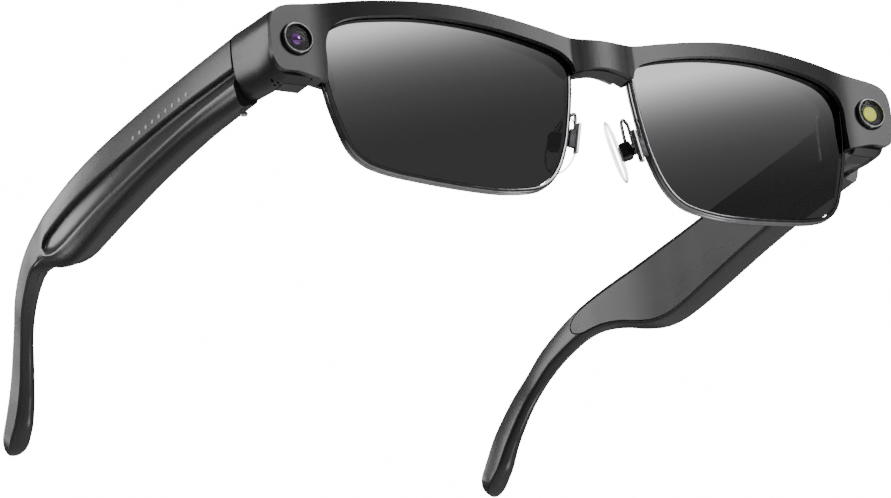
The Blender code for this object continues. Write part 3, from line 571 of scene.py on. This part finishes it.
def tint_and_reflection(name, side):
    """Lens tint and painted reflection: light at its upper corner and dark below, under a flash
    mirror.
    """
    material, shader = new_material(name, (0.1, 0.1, 0.105), 0.02, IOR=1.12,
                                    Transmission_Weight=1.0)
    tree = material.node_tree
    coords = tree.nodes.new("ShaderNodeTexCoord")
    slope = tree.nodes.new("ShaderNodeVectorMath")
    slope.operation = "DOT_PRODUCT"
    slope.inputs[1].default_value = TINT_AND_REFLECTION_SLOPE[side]
    shift = tree.nodes.new("ShaderNodeMath")
    shift.operation = "ADD"
    shift.inputs[1].default_value = TINT_AND_REFLECTION_SHIFT[side]
    tree.links.new(coords.outputs["Object"], slope.inputs[0])
    tree.links.new(slope.outputs["Value"], shift.inputs[0])
    # These ramps paint the studio's reflection into the lens colour and mirror strength, on top of
    # the tint
    for socket, stops in (("Base Color", TINT_AND_REFLECTION_COLOURS), ("Metallic", MIRROR_AND_REFLECTION_STOPS)):
        ramp = tree.nodes.new("ShaderNodeValToRGB")
        ramp.color_ramp.interpolation = "B_SPLINE"
        for place, shade in stops[1:-1]:
            ramp.color_ramp.elements.new(place)
        for element, (place, shade) in zip(ramp.color_ramp.elements, stops):
            element.position = place
            element.color = (shade, shade, shade * 1.02, 1)
        tree.links.new(shift.outputs["Value"], ramp.inputs["Fac"])
        tree.links.new(ramp.outputs["Color"], shader.inputs[socket])
    vary(material, noise(material, 160.0, 2.0), shader.inputs["Roughness"], 0.015, 0.03)
    return material


def lamp_phosphor():
    """Yellow phosphor over a grid of small light-emitting dies."""
    material, shader = new_material("lamp_phosphor", (0.8, 0.82, 0.3), 0.45,
                                    Emission_Strength=1.1)
    shader.inputs["Emission Color"].default_value = (0.62, 0.7, 0.03, 1)
    tree = material.node_tree
    coords = tree.nodes.new("ShaderNodeTexCoord")
    cells = tree.nodes.new("ShaderNodeTexVoronoi")
    cells.inputs["Scale"].default_value = 1900.0
    cells.inputs["Randomness"].default_value = 0.25
    tree.links.new(coords.outputs["Object"], cells.inputs["Vector"])
    ramp = tree.nodes.new("ShaderNodeValToRGB")
    ramp.color_ramp.elements[0].position = 0.25
    ramp.color_ramp.elements[1].position = 0.6
    ramp.color_ramp.elements[0].color = (0.95, 0.93, 0.3, 1)
    ramp.color_ramp.elements[1].color = (0.5, 0.56, 0.02, 1)
    tree.links.new(cells.outputs["Distance"], ramp.inputs["Fac"])
    tree.links.new(ramp.outputs["Color"], shader.inputs["Base Color"])
    add_bump(material, shader, cells.outputs["Distance"], 0.05, 0.6)
    return material


def board_material():
    """Solder mask with faint copper traces under it."""
    material, shader = new_material("solder_mask", (0.02, 0.12, 0.06), 0.35)
    tree = material.node_tree
    coords = tree.nodes.new("ShaderNodeTexCoord")
    traces = tree.nodes.new("ShaderNodeTexBrick")
    traces.inputs["Scale"].default_value = 400.0
    traces.inputs["Color1"].default_value = (0.015, 0.11, 0.05, 1)
    traces.inputs["Color2"].default_value = (0.02, 0.14, 0.07, 1)
    traces.inputs["Mortar"].default_value = (0.09, 0.2, 0.08, 1)
    tree.links.new(coords.outputs["Object"], traces.inputs["Vector"])
    tree.links.new(traces.outputs["Color"], shader.inputs["Base Color"])
    return material


def clear(name, shade, roughness, face, edge, start=0.0, **sockets):
    """A clear part: see-through face on, with more body toward its edges."""
    material, shader = new_material(name, shade, roughness, **sockets)
    tree = material.node_tree
    weight = tree.nodes.new("ShaderNodeLayerWeight")
    weight.inputs["Blend"].default_value = 0.35
    spread = tree.nodes.new("ShaderNodeMapRange")
    spread.inputs["From Min"].default_value = start
    spread.inputs["To Min"].default_value = face
    spread.inputs["To Max"].default_value = edge
    tree.links.new(weight.outputs["Facing"], spread.inputs["Value"])
    tree.links.new(spread.outputs["Result"], shader.inputs["Alpha"])
    marks = noise(material, 500.0)
    vary(material, marks, shader.inputs["Roughness"], roughness * 0.7, roughness * 1.4)
    return material


MATT_BLACK = moulded("matt_black_plastic", 0.024, 0.27, spread=0.02)
SATIN_BLACK = moulded("satin_black_plastic", 0.024, 0.28, spread=0.02, Specular_IOR_Level=0.38)
GLOSS_BLACK = moulded("gloss_black_bezel", 0.010, 0.12, 900.0, 0.004, 0.03, Coat_Weight=0.4)
GUNMETAL = polished("gunmetal_plate", (0.26, 0.26, 0.27), 0.13)
STEEL = polished("polished_steel", (0.62, 0.62, 0.64), 0.14)
BRUSHED = polished("brushed_steel", (0.55, 0.55, 0.57), 0.28, (1, 1, 12), 900.0)
FOIL = polished("battery_foil", (0.56, 0.57, 0.6), 0.3, (1, 1, 1), 250.0)
MARKS = moulded("printed_light_grey", 0.8, 0.5, 1800.0, 0.01)
# Lens materials: a gradient tint with the studio's reflection painted into it
LENS_TINT_AND_REFLECTION = {1: tint_and_reflection("lens_tint_reflection_left", 1), -1: tint_and_reflection("lens_tint_reflection_right", -1)}
PHOSPHOR = lamp_phosphor()
BOARD = board_material()
SILICONE = clear("clear_silicone", (0.3, 0.31, 0.32), 0.2, 0.06, 1.0, 0.25)
# Grey ring metal, put in for the highlight on the black barrel's bevel: a painted highlight
HIGHLIGHT_RING_METAL = polished("highlight_ring_grey", (0.5, 0.5, 0.52), 0.28)
DARK_METAL = polished("dark_nickel", (0.07, 0.07, 0.074), 0.16)
BRACKET = polished("bracket_nickel", (0.05, 0.05, 0.053), 0.36)
PAD_EDGE = clear("silicone_edge", (0.22, 0.225, 0.23), 0.2, 0.35, 0.9)
PLATED = polished("plated_wire", (0.34, 0.34, 0.35), 0.1)
BAFFLE = moulded("ribbed_baffle", 0.012, 0.3, 1500.0, 0.01)
CAMERA_GLASS = clear("camera_front_glass", (0.02, 0.018, 0.025), 0.03, 0.1, 0.6)
CLEAR_GLASS = clear("lamp_front_glass", (0.05, 0.05, 0.05), 0.04, 0.1, 0.5)
COATED = polished("coated_element", (0.5, 0.2, 0.74), 0.05, Coat_Weight=1.0)


def cover_outline(half, top, low):
    """The closed outline of the cover or the bar."""
    return smooth_path(mirror_outline(half, top, low), steps=9, closed=True)


def build_front():
    """The brow cover and the rear bar behind it, with a dark seam between the two."""
    cover = bend(plate_mesh("cover", cover_outline(COVER_HALF, COVER_MIDDLE_TOP, COVER_MIDDLE_LOW),
                            0.0, COVER_THICKNESS))
    holes = [rod_mesh("hole", (side * EYE_X, -4, EYE_Z), (side * EYE_X, 12, EYE_Z),
                      RING_RADIUS + HOLE_PLAY, 96) for side in (1, -1)]
    add_piece("brow_cover", cover, MATT_BLACK, "front", ("front_cover",),
              bevel=PLATE_BEVEL, cut=holes)
    bar = bend(plate_mesh("bar", cover_outline(BAR_HALF, BAR_MIDDLE_TOP, BAR_MIDDLE_LOW),
                          COVER_THICKNESS + SEAM, BAR_BACK))
    pocket = plate_mesh("pocket", lens_outline(RIM_WIDTH + POCKET_GROW), POCKET_FRONT,
                        RIM_FRONT + RIM_DEPTH + GAP)
    pocket = bend(pocket, 2.5)
    pockets = [mirrored(pocket, side) for side in (1, -1)]
    add_piece("brow_bar", bar, SATIN_BLACK, "front", ("rear_bar",),
              bevel=PLATE_BEVEL, cut=pockets)


def lens_outline(grow):
    """The lens outline, grown by a distance where it sits behind the cover."""
    low = offset_path(smooth_path(RIM_EDGE, steps=9), grow - RIM_WIDTH - 0.15)
    return low + offset_path(smooth_path(LENS_TOP, steps=9), grow)


def build_lens(side, word):
    """A lens with a tint and a painted reflection, and a fine bevel."""
    mesh = bend(plate_mesh("lens", lens_outline(0.0), LENS_FRONT, LENS_FRONT + LENS_THICKNESS))
    lens = add_piece("tinted_lens_" + word, mirrored(mesh, side), LENS_TINT_AND_REFLECTION[side], "front",
                     ("lens_" + word,))
    add_bevel(lens, 0.12, 2)


def build_rim(side, word):
    """The half rim: two polished ridges round the lower edge of the lens."""
    half = RIM_DEPTH / 2
    apart, tall, wide = RIM_RIDGE
    ridge = [(tall - tall * math.sin(t), sign * apart - wide * math.cos(t))
             for sign in (-1, 1) for t in [math.pi * k / 8 for k in range(9)]]
    section = [(RIM_WIDTH, half - 0.12), (RIM_WIDTH - 0.1, half), (0.3, half)]
    section = ridge + section[::-1] + [(RIM_WIDTH, -half + 0.12), (RIM_WIDTH - 0.1, -half)]
    path = smooth_path(RIM_EDGE, steps=12)
    inner = offset_path(path, -1.0)
    middle = RIM_FRONT + half
    rings = [[face_point(x + (xi - x) * across, middle + depth, z + (zi - z) * across)
              for across, depth in section] for (x, z), (xi, zi) in zip(path, inner)]
    add_piece("rim_" + word, mirrored(loft_mesh("rim", rings), side), GUNMETAL, "front",
              ("lower_rim_" + word,), angle=50)


def build_brace():
    """The metal strip behind the bridge."""
    top = [(-5.0, 31.5, SHARP), (0.0, 32.2), (5.0, 31.5, SHARP)]
    low = [(5.0, 28.8, SHARP), (0.0, 29.6), (-5.0, 28.8, SHARP)]
    outline = smooth_path(top, 12) + smooth_path(low, 12)
    start = BAR_BACK + GAP
    mesh = bend(plate_mesh("brace", outline, start, start + BRACE_DEPTH))
    add_piece("bridge_strip", mesh, GUNMETAL, "front", ("bridge_brace",), bevel=0.2)


def shell_ring(y, top, outer, corner, low):
    """Section of an end piece, from its top round the outer side to its underside."""
    inner = SHELL_START
    side = [(outer, top - 0.5 - corner), (outer + 0.08, top - 4.0), (outer + 0.03, top - 5.6)]
    wide, tall = FOOT_RADII
    foot = [(outer - wide + wide * math.cos(t), low + tall - tall * math.sin(t))
            for t in [math.pi / 2 * k / 15 for k in range(16)]]
    spots = [(inner, top), (outer - corner, top - 0.1), (outer - 0.4 * corner, top - 0.5)]
    return [(x, y, z) for x, z in spots + side + foot + [(inner, low)]]


def build_end_shell(side, word):
    """The housing behind an end piece, with its wing, sound holes and parting lines."""
    front = face_depth(EYE_X) + COVER_THICKNESS + 0.2
    # Each station is y, top z, outer x, corner, bottom z
    stations = [(front, 36.2, 75.1, 1.6, 22.1), (front + 1.6, 36.15, 75.3, 1.5, SHELL_LOW),
                (SHELL_REAR, 36.0, 75.7, 1.2, SHELL_LOW + 0.1),
                (WING_REAR - 1.4, 35.85, 76.3, 0.7, SHELL_LOW + WING_RISE),
                (WING_REAR, 35.8, 76.4, 0.6, SHELL_LOW + WING_RISE + 0.2)]
    rings = [shell_ring(*station) for station in stations]
    cuts = [box_mesh("notch", (SHELL_START - 2, SHELL_REAR, 10), (WING_IN, 30, 45)),
            box_mesh("line", (66.4, 8.9, 15), (71.6, 9.15, 21.15)),
            box_mesh("line", (71.4, 8.9, 15), (71.6, 13.6, 21.15))]
    mics = [rod_mesh("mic", (x, y, 15), (x, y, 22.5), MIC_RADIUS, 24) for x, y in MIC_PLACES]
    cuts.append(join_meshes("mics", mics))
    add_piece("end_housing_" + word, mirrored(loft_mesh("housing", rings), side), SATIN_BLACK,
              "front", ("end_shell_" + word,), bevel=0.14,
              cut=[mirrored(m, side) for m in cuts])


def eye_piece(name, profile, material, side, stands_for=()):
    """A turned piece of the camera or the lamp."""
    mesh = turned_mesh(name, profile, (side * EYE_X, EYE_DEPTH, EYE_Z))
    add_piece(name, mesh, material, "front", stands_for)


def build_eye(side, label):
    """The barrel, with a grey metal ring on its front bevel as a painted highlight, for the camera
    and the lamp.
    """
    barrel = [(2.98, -0.14), (3.2, -0.14), (3.33, -0.22), (RING_RADIUS, -0.4), (RING_RADIUS, -2.7),
              (2.3, -2.7), (2.3, -1.5), (2.9, -0.5)]
    eye_piece(label + "_barrel", barrel, GLOSS_BLACK, side, (label + "_ring",))
    bezel = [(HIGHLIGHT_RING_RADIUS + HIGHLIGHT_RING_WIRE * math.cos(t), -HIGHLIGHT_RING_WIRE + HIGHLIGHT_RING_WIRE * math.sin(t))
             for t in [2 * math.pi * k / 12 for k in range(12)]]
    eye_piece(label + "_bezel", bezel + bezel[:1], HIGHLIGHT_RING_METAL, side)


def dome(radius, crown, base, thickness, steps=14):
    """Profile of a shallow dome, from its middle out and back under."""
    top = [(radius * k / steps, base - crown * (k / steps) ** 2) for k in range(steps + 1)]
    return top + [(radius, base - crown - thickness), (0.0, base - crown - thickness)]


def build_camera():
    """The camera at the wearer's right: front glass, ribbed baffle and coated element."""
    side = -1
    build_eye(side, "camera")
    eye_piece("camera_front_glass", dome(2.9, 0.42, -0.06, 0.25), CAMERA_GLASS, side,
              ("camera_glass",))
    rings = [(2.75, -0.8), (2.1, -1.05), (2.1, -1.2), (1.55, -1.35), (1.55, -1.5), (1.2, -1.6),
             (1.2, -2.4), (2.28, -2.4), (2.28, -1.6), (2.75, -0.95)]
    eye_piece("camera_baffle", rings, BAFFLE, side)
    eye_piece("camera_element", dome(1.35, 0.5, -0.3, 0.3), COATED, side)


def build_lamp():
    """The lamp at the wearer's left: cone, front glass and phosphor."""
    side = 1
    build_eye(side, "lamp")
    eye_piece("lamp_cone", [(2.85, -0.5), (1.64, -0.85), (1.64, -2.2), (2.28, -2.2), (2.28, -1.5),
                            (2.85, -0.75)], BAFFLE, side)
    eye_piece("lamp_glass", dome(2.88, 0.25, -0.12, 0.2), CLEAR_GLASS, side,
              ("lamp_window",))
    eye_piece("lamp_chip", dome(1.6, 0.15, -0.6, 0.4), PHOSPHOR, side,
              ("lamp_emitter",))


def temple_stations(steps):
    """Temple sections: the listed stations, eased between with a cubic."""
    rows = []
    last = len(TEMPLE) - 1
    for i in range(last):
        a, b = TEMPLE[max(i - 1, 0)], TEMPLE[i]
        c, d = TEMPLE[i + 1], TEMPLE[min(i + 2, last)]
        span = c[0] - b[0]
        before, after = b[0] - a[0] or span, d[0] - c[0] or span
        for k in range(steps):
            t = k / steps
            h0, h1, h2, h3 = (2 * t ** 3 - 3 * t ** 2 + 1, t ** 3 - 2 * t ** 2 + t,
                              3 * t ** 2 - 2 * t ** 3, t ** 3 - t ** 2)
            row = []
            for va, vb, vc, vd in zip(a, b, c, d):
                m0 = ((vc - vb) / span + (vb - va) / before) / 2 * span
                m1 = ((vc - vb) / span + (vd - vc) / after) / 2 * span
                row.append(h0 * vb + h1 * m0 + h2 * vc + h3 * m1)
            rows.append(row)
    rows.append(list(TEMPLE[last]))
    return rows


def temple_section(row):
    """Points (down, x) round a temple section, with the scoop and the undercut in it."""
    top_y, top_z, low_y, low_z, outer, inner = row
    height = math.hypot(top_y - low_y, top_z - low_z)
    corner = min(0.8, (outer - inner) * 0.24)
    c = corner / height
    run = max(0.0, top_y - SCOOP_END + SCOOP_NOSE) / SCOOP_NOSE
    fade = math.sqrt(max(0.0, 1 - run * run))
    depth = SCOOP * fade ** 0.5
    tip = min(1.0, max(0.0, (top_y - TIP_START) / TIP_BLEND))
    step = (top_z - along_table(STEP_CURVE, top_y)) / height
    ridge = (top_z - along_table(RIDGE_CURVE, top_y)) / height
    step += (TIP_STEP - step) * tip
    ridge += (TIP_EDGE - ridge) * tip
    close = (ridge - step) * (1 - fade) / 2
    upper, lower = step + close, ridge - close
    low = corner + 1.0 * tip
    e = low / height
    crown = 0.12 * (1 - tip)
    drop = UNDER_DROP * (1 - tip) / height
    arc = [math.pi / 2 * k / 5 for k in range(6)]
    top_in = [(c * (1 - math.cos(t)), inner + corner * (1 - math.sin(t))) for t in arc]
    top_out = [(c * (1 - math.sin(t)), outer - corner * (1 - math.cos(t))) for t in arc[::-1]]
    low_in = [(1 - e * (1 - math.sin(t)), inner + low * (1 - math.cos(t))) for t in arc[::-1]]
    outer_face = [(c + (upper - c) * s, outer + crown * math.sin(math.pi * s))
                  for s in (0.2, 0.4, 0.6, 0.8)]
    lip = [(upper - 0.12 / height, outer), (upper, outer - 0.1 * fade),
           (upper + 0.12 / height * fade, outer - 0.9 * depth),
           (upper + 0.34 / height * fade, outer - depth)]
    flat_start, flat_blend = SCOOP_FLAT
    level = min(1.0, max(0.0, (top_y - flat_start) / flat_blend))
    middle = [(upper + (lower - upper) * s, outer - depth * (front + (rear - front) * level))
              for s, front, rear in SCOOP_FLOOR]
    below = [(ridge, outer - 0.05 * (1 - tip)),
             (ridge + 0.15 * (1 - ridge), outer - 0.045 * UNDER_CUT - TIP_GROOVE * tip),
             (ridge + 0.3 * (1 - ridge), outer - 0.13 * UNDER_CUT),
             (ridge + 0.5 * (1 - ridge) + 0.15 * drop, outer - 0.22 * UNDER_CUT),
             (ridge + 0.7 * (1 - ridge) - c * 0.3 * tip + 0.4 * drop, outer - 0.33 * UNDER_CUT),
             (1 - 0.25 * c + 0.85 * drop, outer - 0.62 * UNDER_CUT),
             (1.0 - 0.1 * c + drop, outer - 0.82 * UNDER_CUT), (1.0 + drop, outer - 1.05 * UNDER_CUT)]
    return top_in[::-1] + top_out + outer_face + lip + middle + below + low_in


def temple_ring(row):
    """A temple section as points in millimetres."""
    return [station_point(row, down, x) for down, x in temple_section(row)]


def temple_rings():
    """All sections from the hinge back, closed by a rounded tip."""
    rings = [temple_ring(row) for row in temple_stations(9)]
    final = [Vector(p) for p in rings[-1]]
    before = [Vector(p) for p in rings[-2]]
    middle = sum(final, Vector()) / len(final)
    along = (middle - sum(before, Vector()) / len(before)).normalized()
    for k in range(1, 13):
        turn = math.radians(7.2 * k)
        shift = along * TIP_REACH * math.sin(turn)
        rings.append([middle + (p - middle) * math.cos(turn) + shift for p in final])
    return rings


def panel_rings(start, end, margin, shallow, deep, nose):
    """Sections of a slab on the temple's inner face; it ends in an arc of length nose."""
    rows = [row for row in temple_stations(24) if start <= row[0] <= end]
    rings = []
    for row in rows:
        height = math.hypot(row[0] - row[2], row[1] - row[3])
        left = max(0.0, 1 - max(0.0, row[0] - (end - nose)) / nose)
        spread = (0.5 - margin / height) * math.sqrt(1 - (1 - left) ** 2)
        spread = max(spread, 0.03)
        low_x, high_x = shallow(row), deep(row)
        rings.append([station_point(row, 0.5 - spread, low_x),
                      station_point(row, 0.5 - spread, high_x),
                      station_point(row, 0.5 + spread, high_x),
                      station_point(row, 0.5 + spread, low_x)])
    return rings


def build_temple(side, word):
    """A temple: its shell, the cover let into its inner face, and a plain row of printed dots."""
    body = "temple_" + word
    recess = loft_mesh("recess", panel_rings(COVER_START - 0.2, COVER_END + 0.2, 0.8,
                                             lambda row: row[5] - 1.5,
                                             lambda row: row[5] + PANEL + 0.1, 5.2))
    add_piece("temple_arm_" + word, mirrored(loft_mesh("arm", temple_rings()), side), MATT_BLACK,
              body, ("temple_shell_" + word,), cut=[mirrored(recess, side)],
              angle=40)
    panel = loft_mesh("panel", panel_rings(COVER_START, COVER_END, 0.95,
                                           lambda row: row[5] + 0.03,
                                           lambda row: row[5] + PANEL, 5.0))
    add_piece("temple_panel_" + word, mirrored(panel, side), SATIN_BLACK, body,
              ("inner_cover_" + word,), bevel=0.16)
    dots = [dot_mesh(k) for k in range(DOT_COUNT)]
    add_piece("dot_row_" + word, mirrored(join_meshes("dots", dots), side), MARKS, body)


def station_at(y):
    """The temple section whose top edge is at y."""
    rows = temple_stations(9)
    for a, b in zip(rows, rows[1:]):
        if y <= b[0]:
            t = (y - a[0]) / (b[0] - a[0])
            return [va + (vb - va) * t for va, vb in zip(a, b)]
    return rows[-1]


def dot_mesh(index):
    """One printed dot, on the plain part of the outer face above the step."""
    place = DOT_START + DOT_PITCH * index
    row = station_at(place)
    height = math.hypot(row[0] - row[2], row[1] - row[3])
    step = (row[1] - along_table(STEP_CURVE, place)) / height
    down = step - DOT_HEIGHT / height
    face = [p for p in temple_section(row) if p[1] > row[4] - 0.02 and p[0] < step]
    x, y, z = station_point(row, down, along_table(face, down))
    return rod_mesh("dot", (x - 0.5, y, z), (x + 0.06, y, z), DOT_RADIUS, 24)


def pad_frame(side):
    """Turn and place of a nose pad: its face looks back and in, its foot splays out."""
    turn = Matrix.Rotation(-side * PAD_TURN, 4, "Z")
    splay = Matrix.Rotation(-side * PAD_SPLAY, 4, "Y")
    place = Matrix.Translation(Vector((side * PAD_CENTRE.x, PAD_CENTRE.y, PAD_CENTRE.z)) * MM)
    return place @ splay @ turn


def build_pad(side, word):
    """A clear teardrop pad with a thin bead round it, its metal box, and the box's boss."""
    body = "pad_unit_" + word
    rings = []
    thick, wide, tall = PAD_HALF
    for k in range(17):
        turn = math.pi * k / 16
        across, scale = -thick * math.cos(turn), 0.66 + 0.34 * math.sin(turn)
        ring = []
        for j in range(56):
            around = 2 * math.pi * j / 56
            narrow = 1 - PAD_NARROW * math.sin(around)
            ring.append((across * side, wide * narrow * scale * math.cos(around),
                         tall * scale * math.sin(around)))
        rings.append(ring)
    pad = loft_mesh("pad", rings)
    pad.transform(pad_frame(side))
    add_piece("silicone_pad_" + word, pad, SILICONE, body, ("nose_pad_" + word,),
              angle=60)
    around = [2 * math.pi * k / 48 for k in range(49)]
    wide, tall = PAD_EDGE_HALF
    rim = [(0.0, wide * (1 - PAD_NARROW * math.sin(t)) * math.cos(t), tall * math.sin(t))
           for t in around]
    edge = wire_mesh("edge", rim, PAD_EDGE_RADIUS, 2)
    edge.transform(pad_frame(side))
    add_piece("pad_edge_" + word, edge, PAD_EDGE, body, angle=60)
    block = box_mesh("block", (side * 0.8, -1.9, -2.3), (side * 3.3, 1.9, 1.3))
    block.transform(pad_frame(side))
    add_piece("pad_carrier_" + word, block, DARK_METAL, body, ("pad_box_" + word,),
              bevel=0.5)
    boss = rod_mesh("boss", (side * 3.35, -0.3, -0.6), (side * 4.7, -0.3, -0.6), 1.3, 32)
    boss.transform(pad_frame(side))
    add_piece("pad_boss_" + word, boss, DARK_METAL, body, bevel=0.25)


def rounded_bar(start, end, across, along, steps=8):
    """An upright bar with a rounded section between two points."""
    rings = []
    for x, y, z in (start, end):
        ring = []
        for k in range(4 * steps):
            turn = 2 * math.pi * k / (4 * steps)
            ca, sa = math.cos(turn), math.sin(turn)
            ring.append((x + across * math.copysign(abs(ca) ** 0.5, ca),
                         y + along * math.copysign(abs(sa) ** 0.5, sa), z))
        rings.append(ring)
    return loft_mesh("bar", rings)


def build_pad_mount(side, word):
    """The bright plate beside the rim, its bracket, and the looped wire that carries the pad."""
    plate = rounded_bar(*PLATE_ENDS, 0.5, 0.6)
    add_piece("rim_plate_" + word, mirrored(plate, side), PLATED, "front",
              ("pad_plate_" + word,), bevel=0.15, angle=60)
    bracket = [[(x, y, z) for x, z in BRACKET_FACE] for y in BRACKET_DEPTHS]
    add_piece("rim_bracket_" + word, mirrored(loft_mesh("bracket", bracket), side), BRACKET,
              "front", bevel=0.12)
    tracks = [smooth_path([(k, knot[axis]) for k, knot in enumerate(WIRE_KNOTS)], steps=9)
              for axis in range(3)]
    spots = [(side * a[1], b[1], c[1]) for a, b, c in zip(*tracks)]
    add_piece("pad_wire_" + word, wire_mesh("wire", spots, WIRE_RADIUS), PLATED, "front",
              ("pad_arm_" + word,), angle=60)


def shade_carried_nodes():
    """Give the CAD nodes that still show their own finished materials."""
    finishes = {"hinge_leaf": GUNMETAL, "hinge_screw": STEEL, "main_board": BOARD,
                "camera_board": BOARD, "lamp_board": BOARD, "battery": FOIL, "speaker": BRUSHED,
                "camera_barrel": BAFFLE, "charge_contact": STEEL}
    for name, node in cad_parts.items():
        for label, material in finishes.items():
            if name.startswith(label):
                for slot in node.material_slots:
                    slot.material = material


def build_floor():
    """A plain pale floor, well below the raised glasses."""
    bm = bmesh.new()
    bmesh.ops.create_grid(bm, x_segments=24, y_segments=24, size=4.0)
    bmesh.ops.translate(bm, vec=(0, 0, FLOOR_HEIGHT), verts=bm.verts)
    floor = bpy.data.objects.new("floor", mesh_from(bm, "floor"))
    bpy.context.scene.collection.objects.link(floor)
    material, shader = new_material("pale_floor", (0.8, 0.8, 0.8), 0.7)
    flecks = noise(material, 40.0, 3.0)
    vary_colour(material, flecks, shader.inputs["Base Color"], (0.79, 0.79, 0.79),
                (0.82, 0.82, 0.82))
    floor.data.materials.append(material)


def build_world():
    """Pale surround: bright overhead, dim below, with plain white behind the object."""
    world = bpy.data.worlds.new("studio")
    world.use_nodes = True
    tree = world.node_tree
    surround = tree.nodes["Background"]
    backdrop = tree.nodes.new("ShaderNodeBackground")
    backdrop.inputs["Color"].default_value = (1, 1, 1, 1)
    backdrop.inputs["Strength"].default_value = BACKDROP_STRENGTH
    coords = tree.nodes.new("ShaderNodeTexCoord")
    split = tree.nodes.new("ShaderNodeSeparateXYZ")
    lift = tree.nodes.new("ShaderNodeMapRange")
    lift.inputs["From Min"].default_value = -1.0
    ramp = tree.nodes.new("ShaderNodeValToRGB")
    for place, shade in SURROUND[1:-1]:
        ramp.color_ramp.elements.new(place)
    for element, (place, shade) in zip(ramp.color_ramp.elements, SURROUND):
        element.position = place
        element.color = (shade, shade, shade, 1)
    ray = tree.nodes.new("ShaderNodeLightPath")
    through = tree.nodes.new("ShaderNodeMixRGB")
    through.inputs["Color2"].default_value = (1, 1, 1, 1)
    mix = tree.nodes.new("ShaderNodeMixShader")
    tree.links.new(coords.outputs["Generated"], split.inputs["Vector"])
    tree.links.new(split.outputs["Z"], lift.inputs["Value"])
    tree.links.new(lift.outputs["Result"], ramp.inputs["Fac"])
    tree.links.new(ramp.outputs["Color"], through.inputs["Color1"])
    tree.links.new(ray.outputs["Is Transmission Ray"], through.inputs["Fac"])
    tree.links.new(through.outputs["Color"], surround.inputs["Color"])
    tree.links.new(ray.outputs["Is Camera Ray"], mix.inputs["Fac"])
    tree.links.new(surround.outputs["Background"], mix.inputs[1])
    tree.links.new(backdrop.outputs["Background"], mix.inputs[2])
    tree.links.new(mix.outputs["Shader"], tree.nodes["World Output"].inputs["Surface"])
    bpy.context.scene.world = world


def add_softbox(name, place, size, power):
    """A soft rectangular light that faces the glasses."""
    data = bpy.data.lights.new(name, "AREA")
    data.shape = "RECTANGLE"
    data.size, data.size_y = size
    data.energy = power
    light = bpy.data.objects.new(name, data)
    bpy.context.scene.collection.objects.link(light)
    light.location = place
    light.rotation_mode = "QUATERNION"
    light.rotation_quaternion = (AIM - Vector(place)).to_track_quat("-Z", "Y")
    return light


def link_light(light, state):
    """Light only the mirror-smooth pieces, or all but those, so no hard patch shows in them."""
    chosen = bpy.data.collections.new(light.name + "_link")
    light.light_linking.receiver_collection = chosen
    for name in MIRROR_SMOOTH:
        chosen.objects.link(bpy.data.objects[name])
    for entry in chosen.collection_objects:
        entry.light_linking.link_state = state


def build_camera_view():
    """The photograph's view: from below and to the wearer's right, with a long lens."""
    data = bpy.data.cameras.new("view")
    data.sensor_width = 36.0
    data.lens = VIEW_LENS
    data.clip_start, data.clip_end = 0.05, 50.0
    camera = bpy.data.objects.new("view", data)
    bpy.context.scene.collection.objects.link(camera)
    right, up = Vector(VIEW_RIGHT), Vector(VIEW_UP)
    back = right.cross(up)
    turn = Matrix((right, up, back)).transposed().to_4x4()
    camera.matrix_world = LEVEL @ Matrix.Translation(Vector(VIEW_PLACE) * MM) @ turn
    bpy.context.scene.camera = camera


build_front()
build_brace()
build_camera()
build_lamp()
for word, side in SIDES.items():
    build_lens(side, word)
    build_rim(side, word)
    build_end_shell(side, word)
    build_temple(side, word)
    build_pad_mount(side, word)
    build_pad(side, word)
shade_carried_nodes()

build_floor()
build_world()
for softbox in [add_softbox(*box) for box in SOFTBOXES]:
    link_light(softbox, "EXCLUDE")
link_light(add_softbox(*LENS_SKY), "INCLUDE")
build_camera_view()
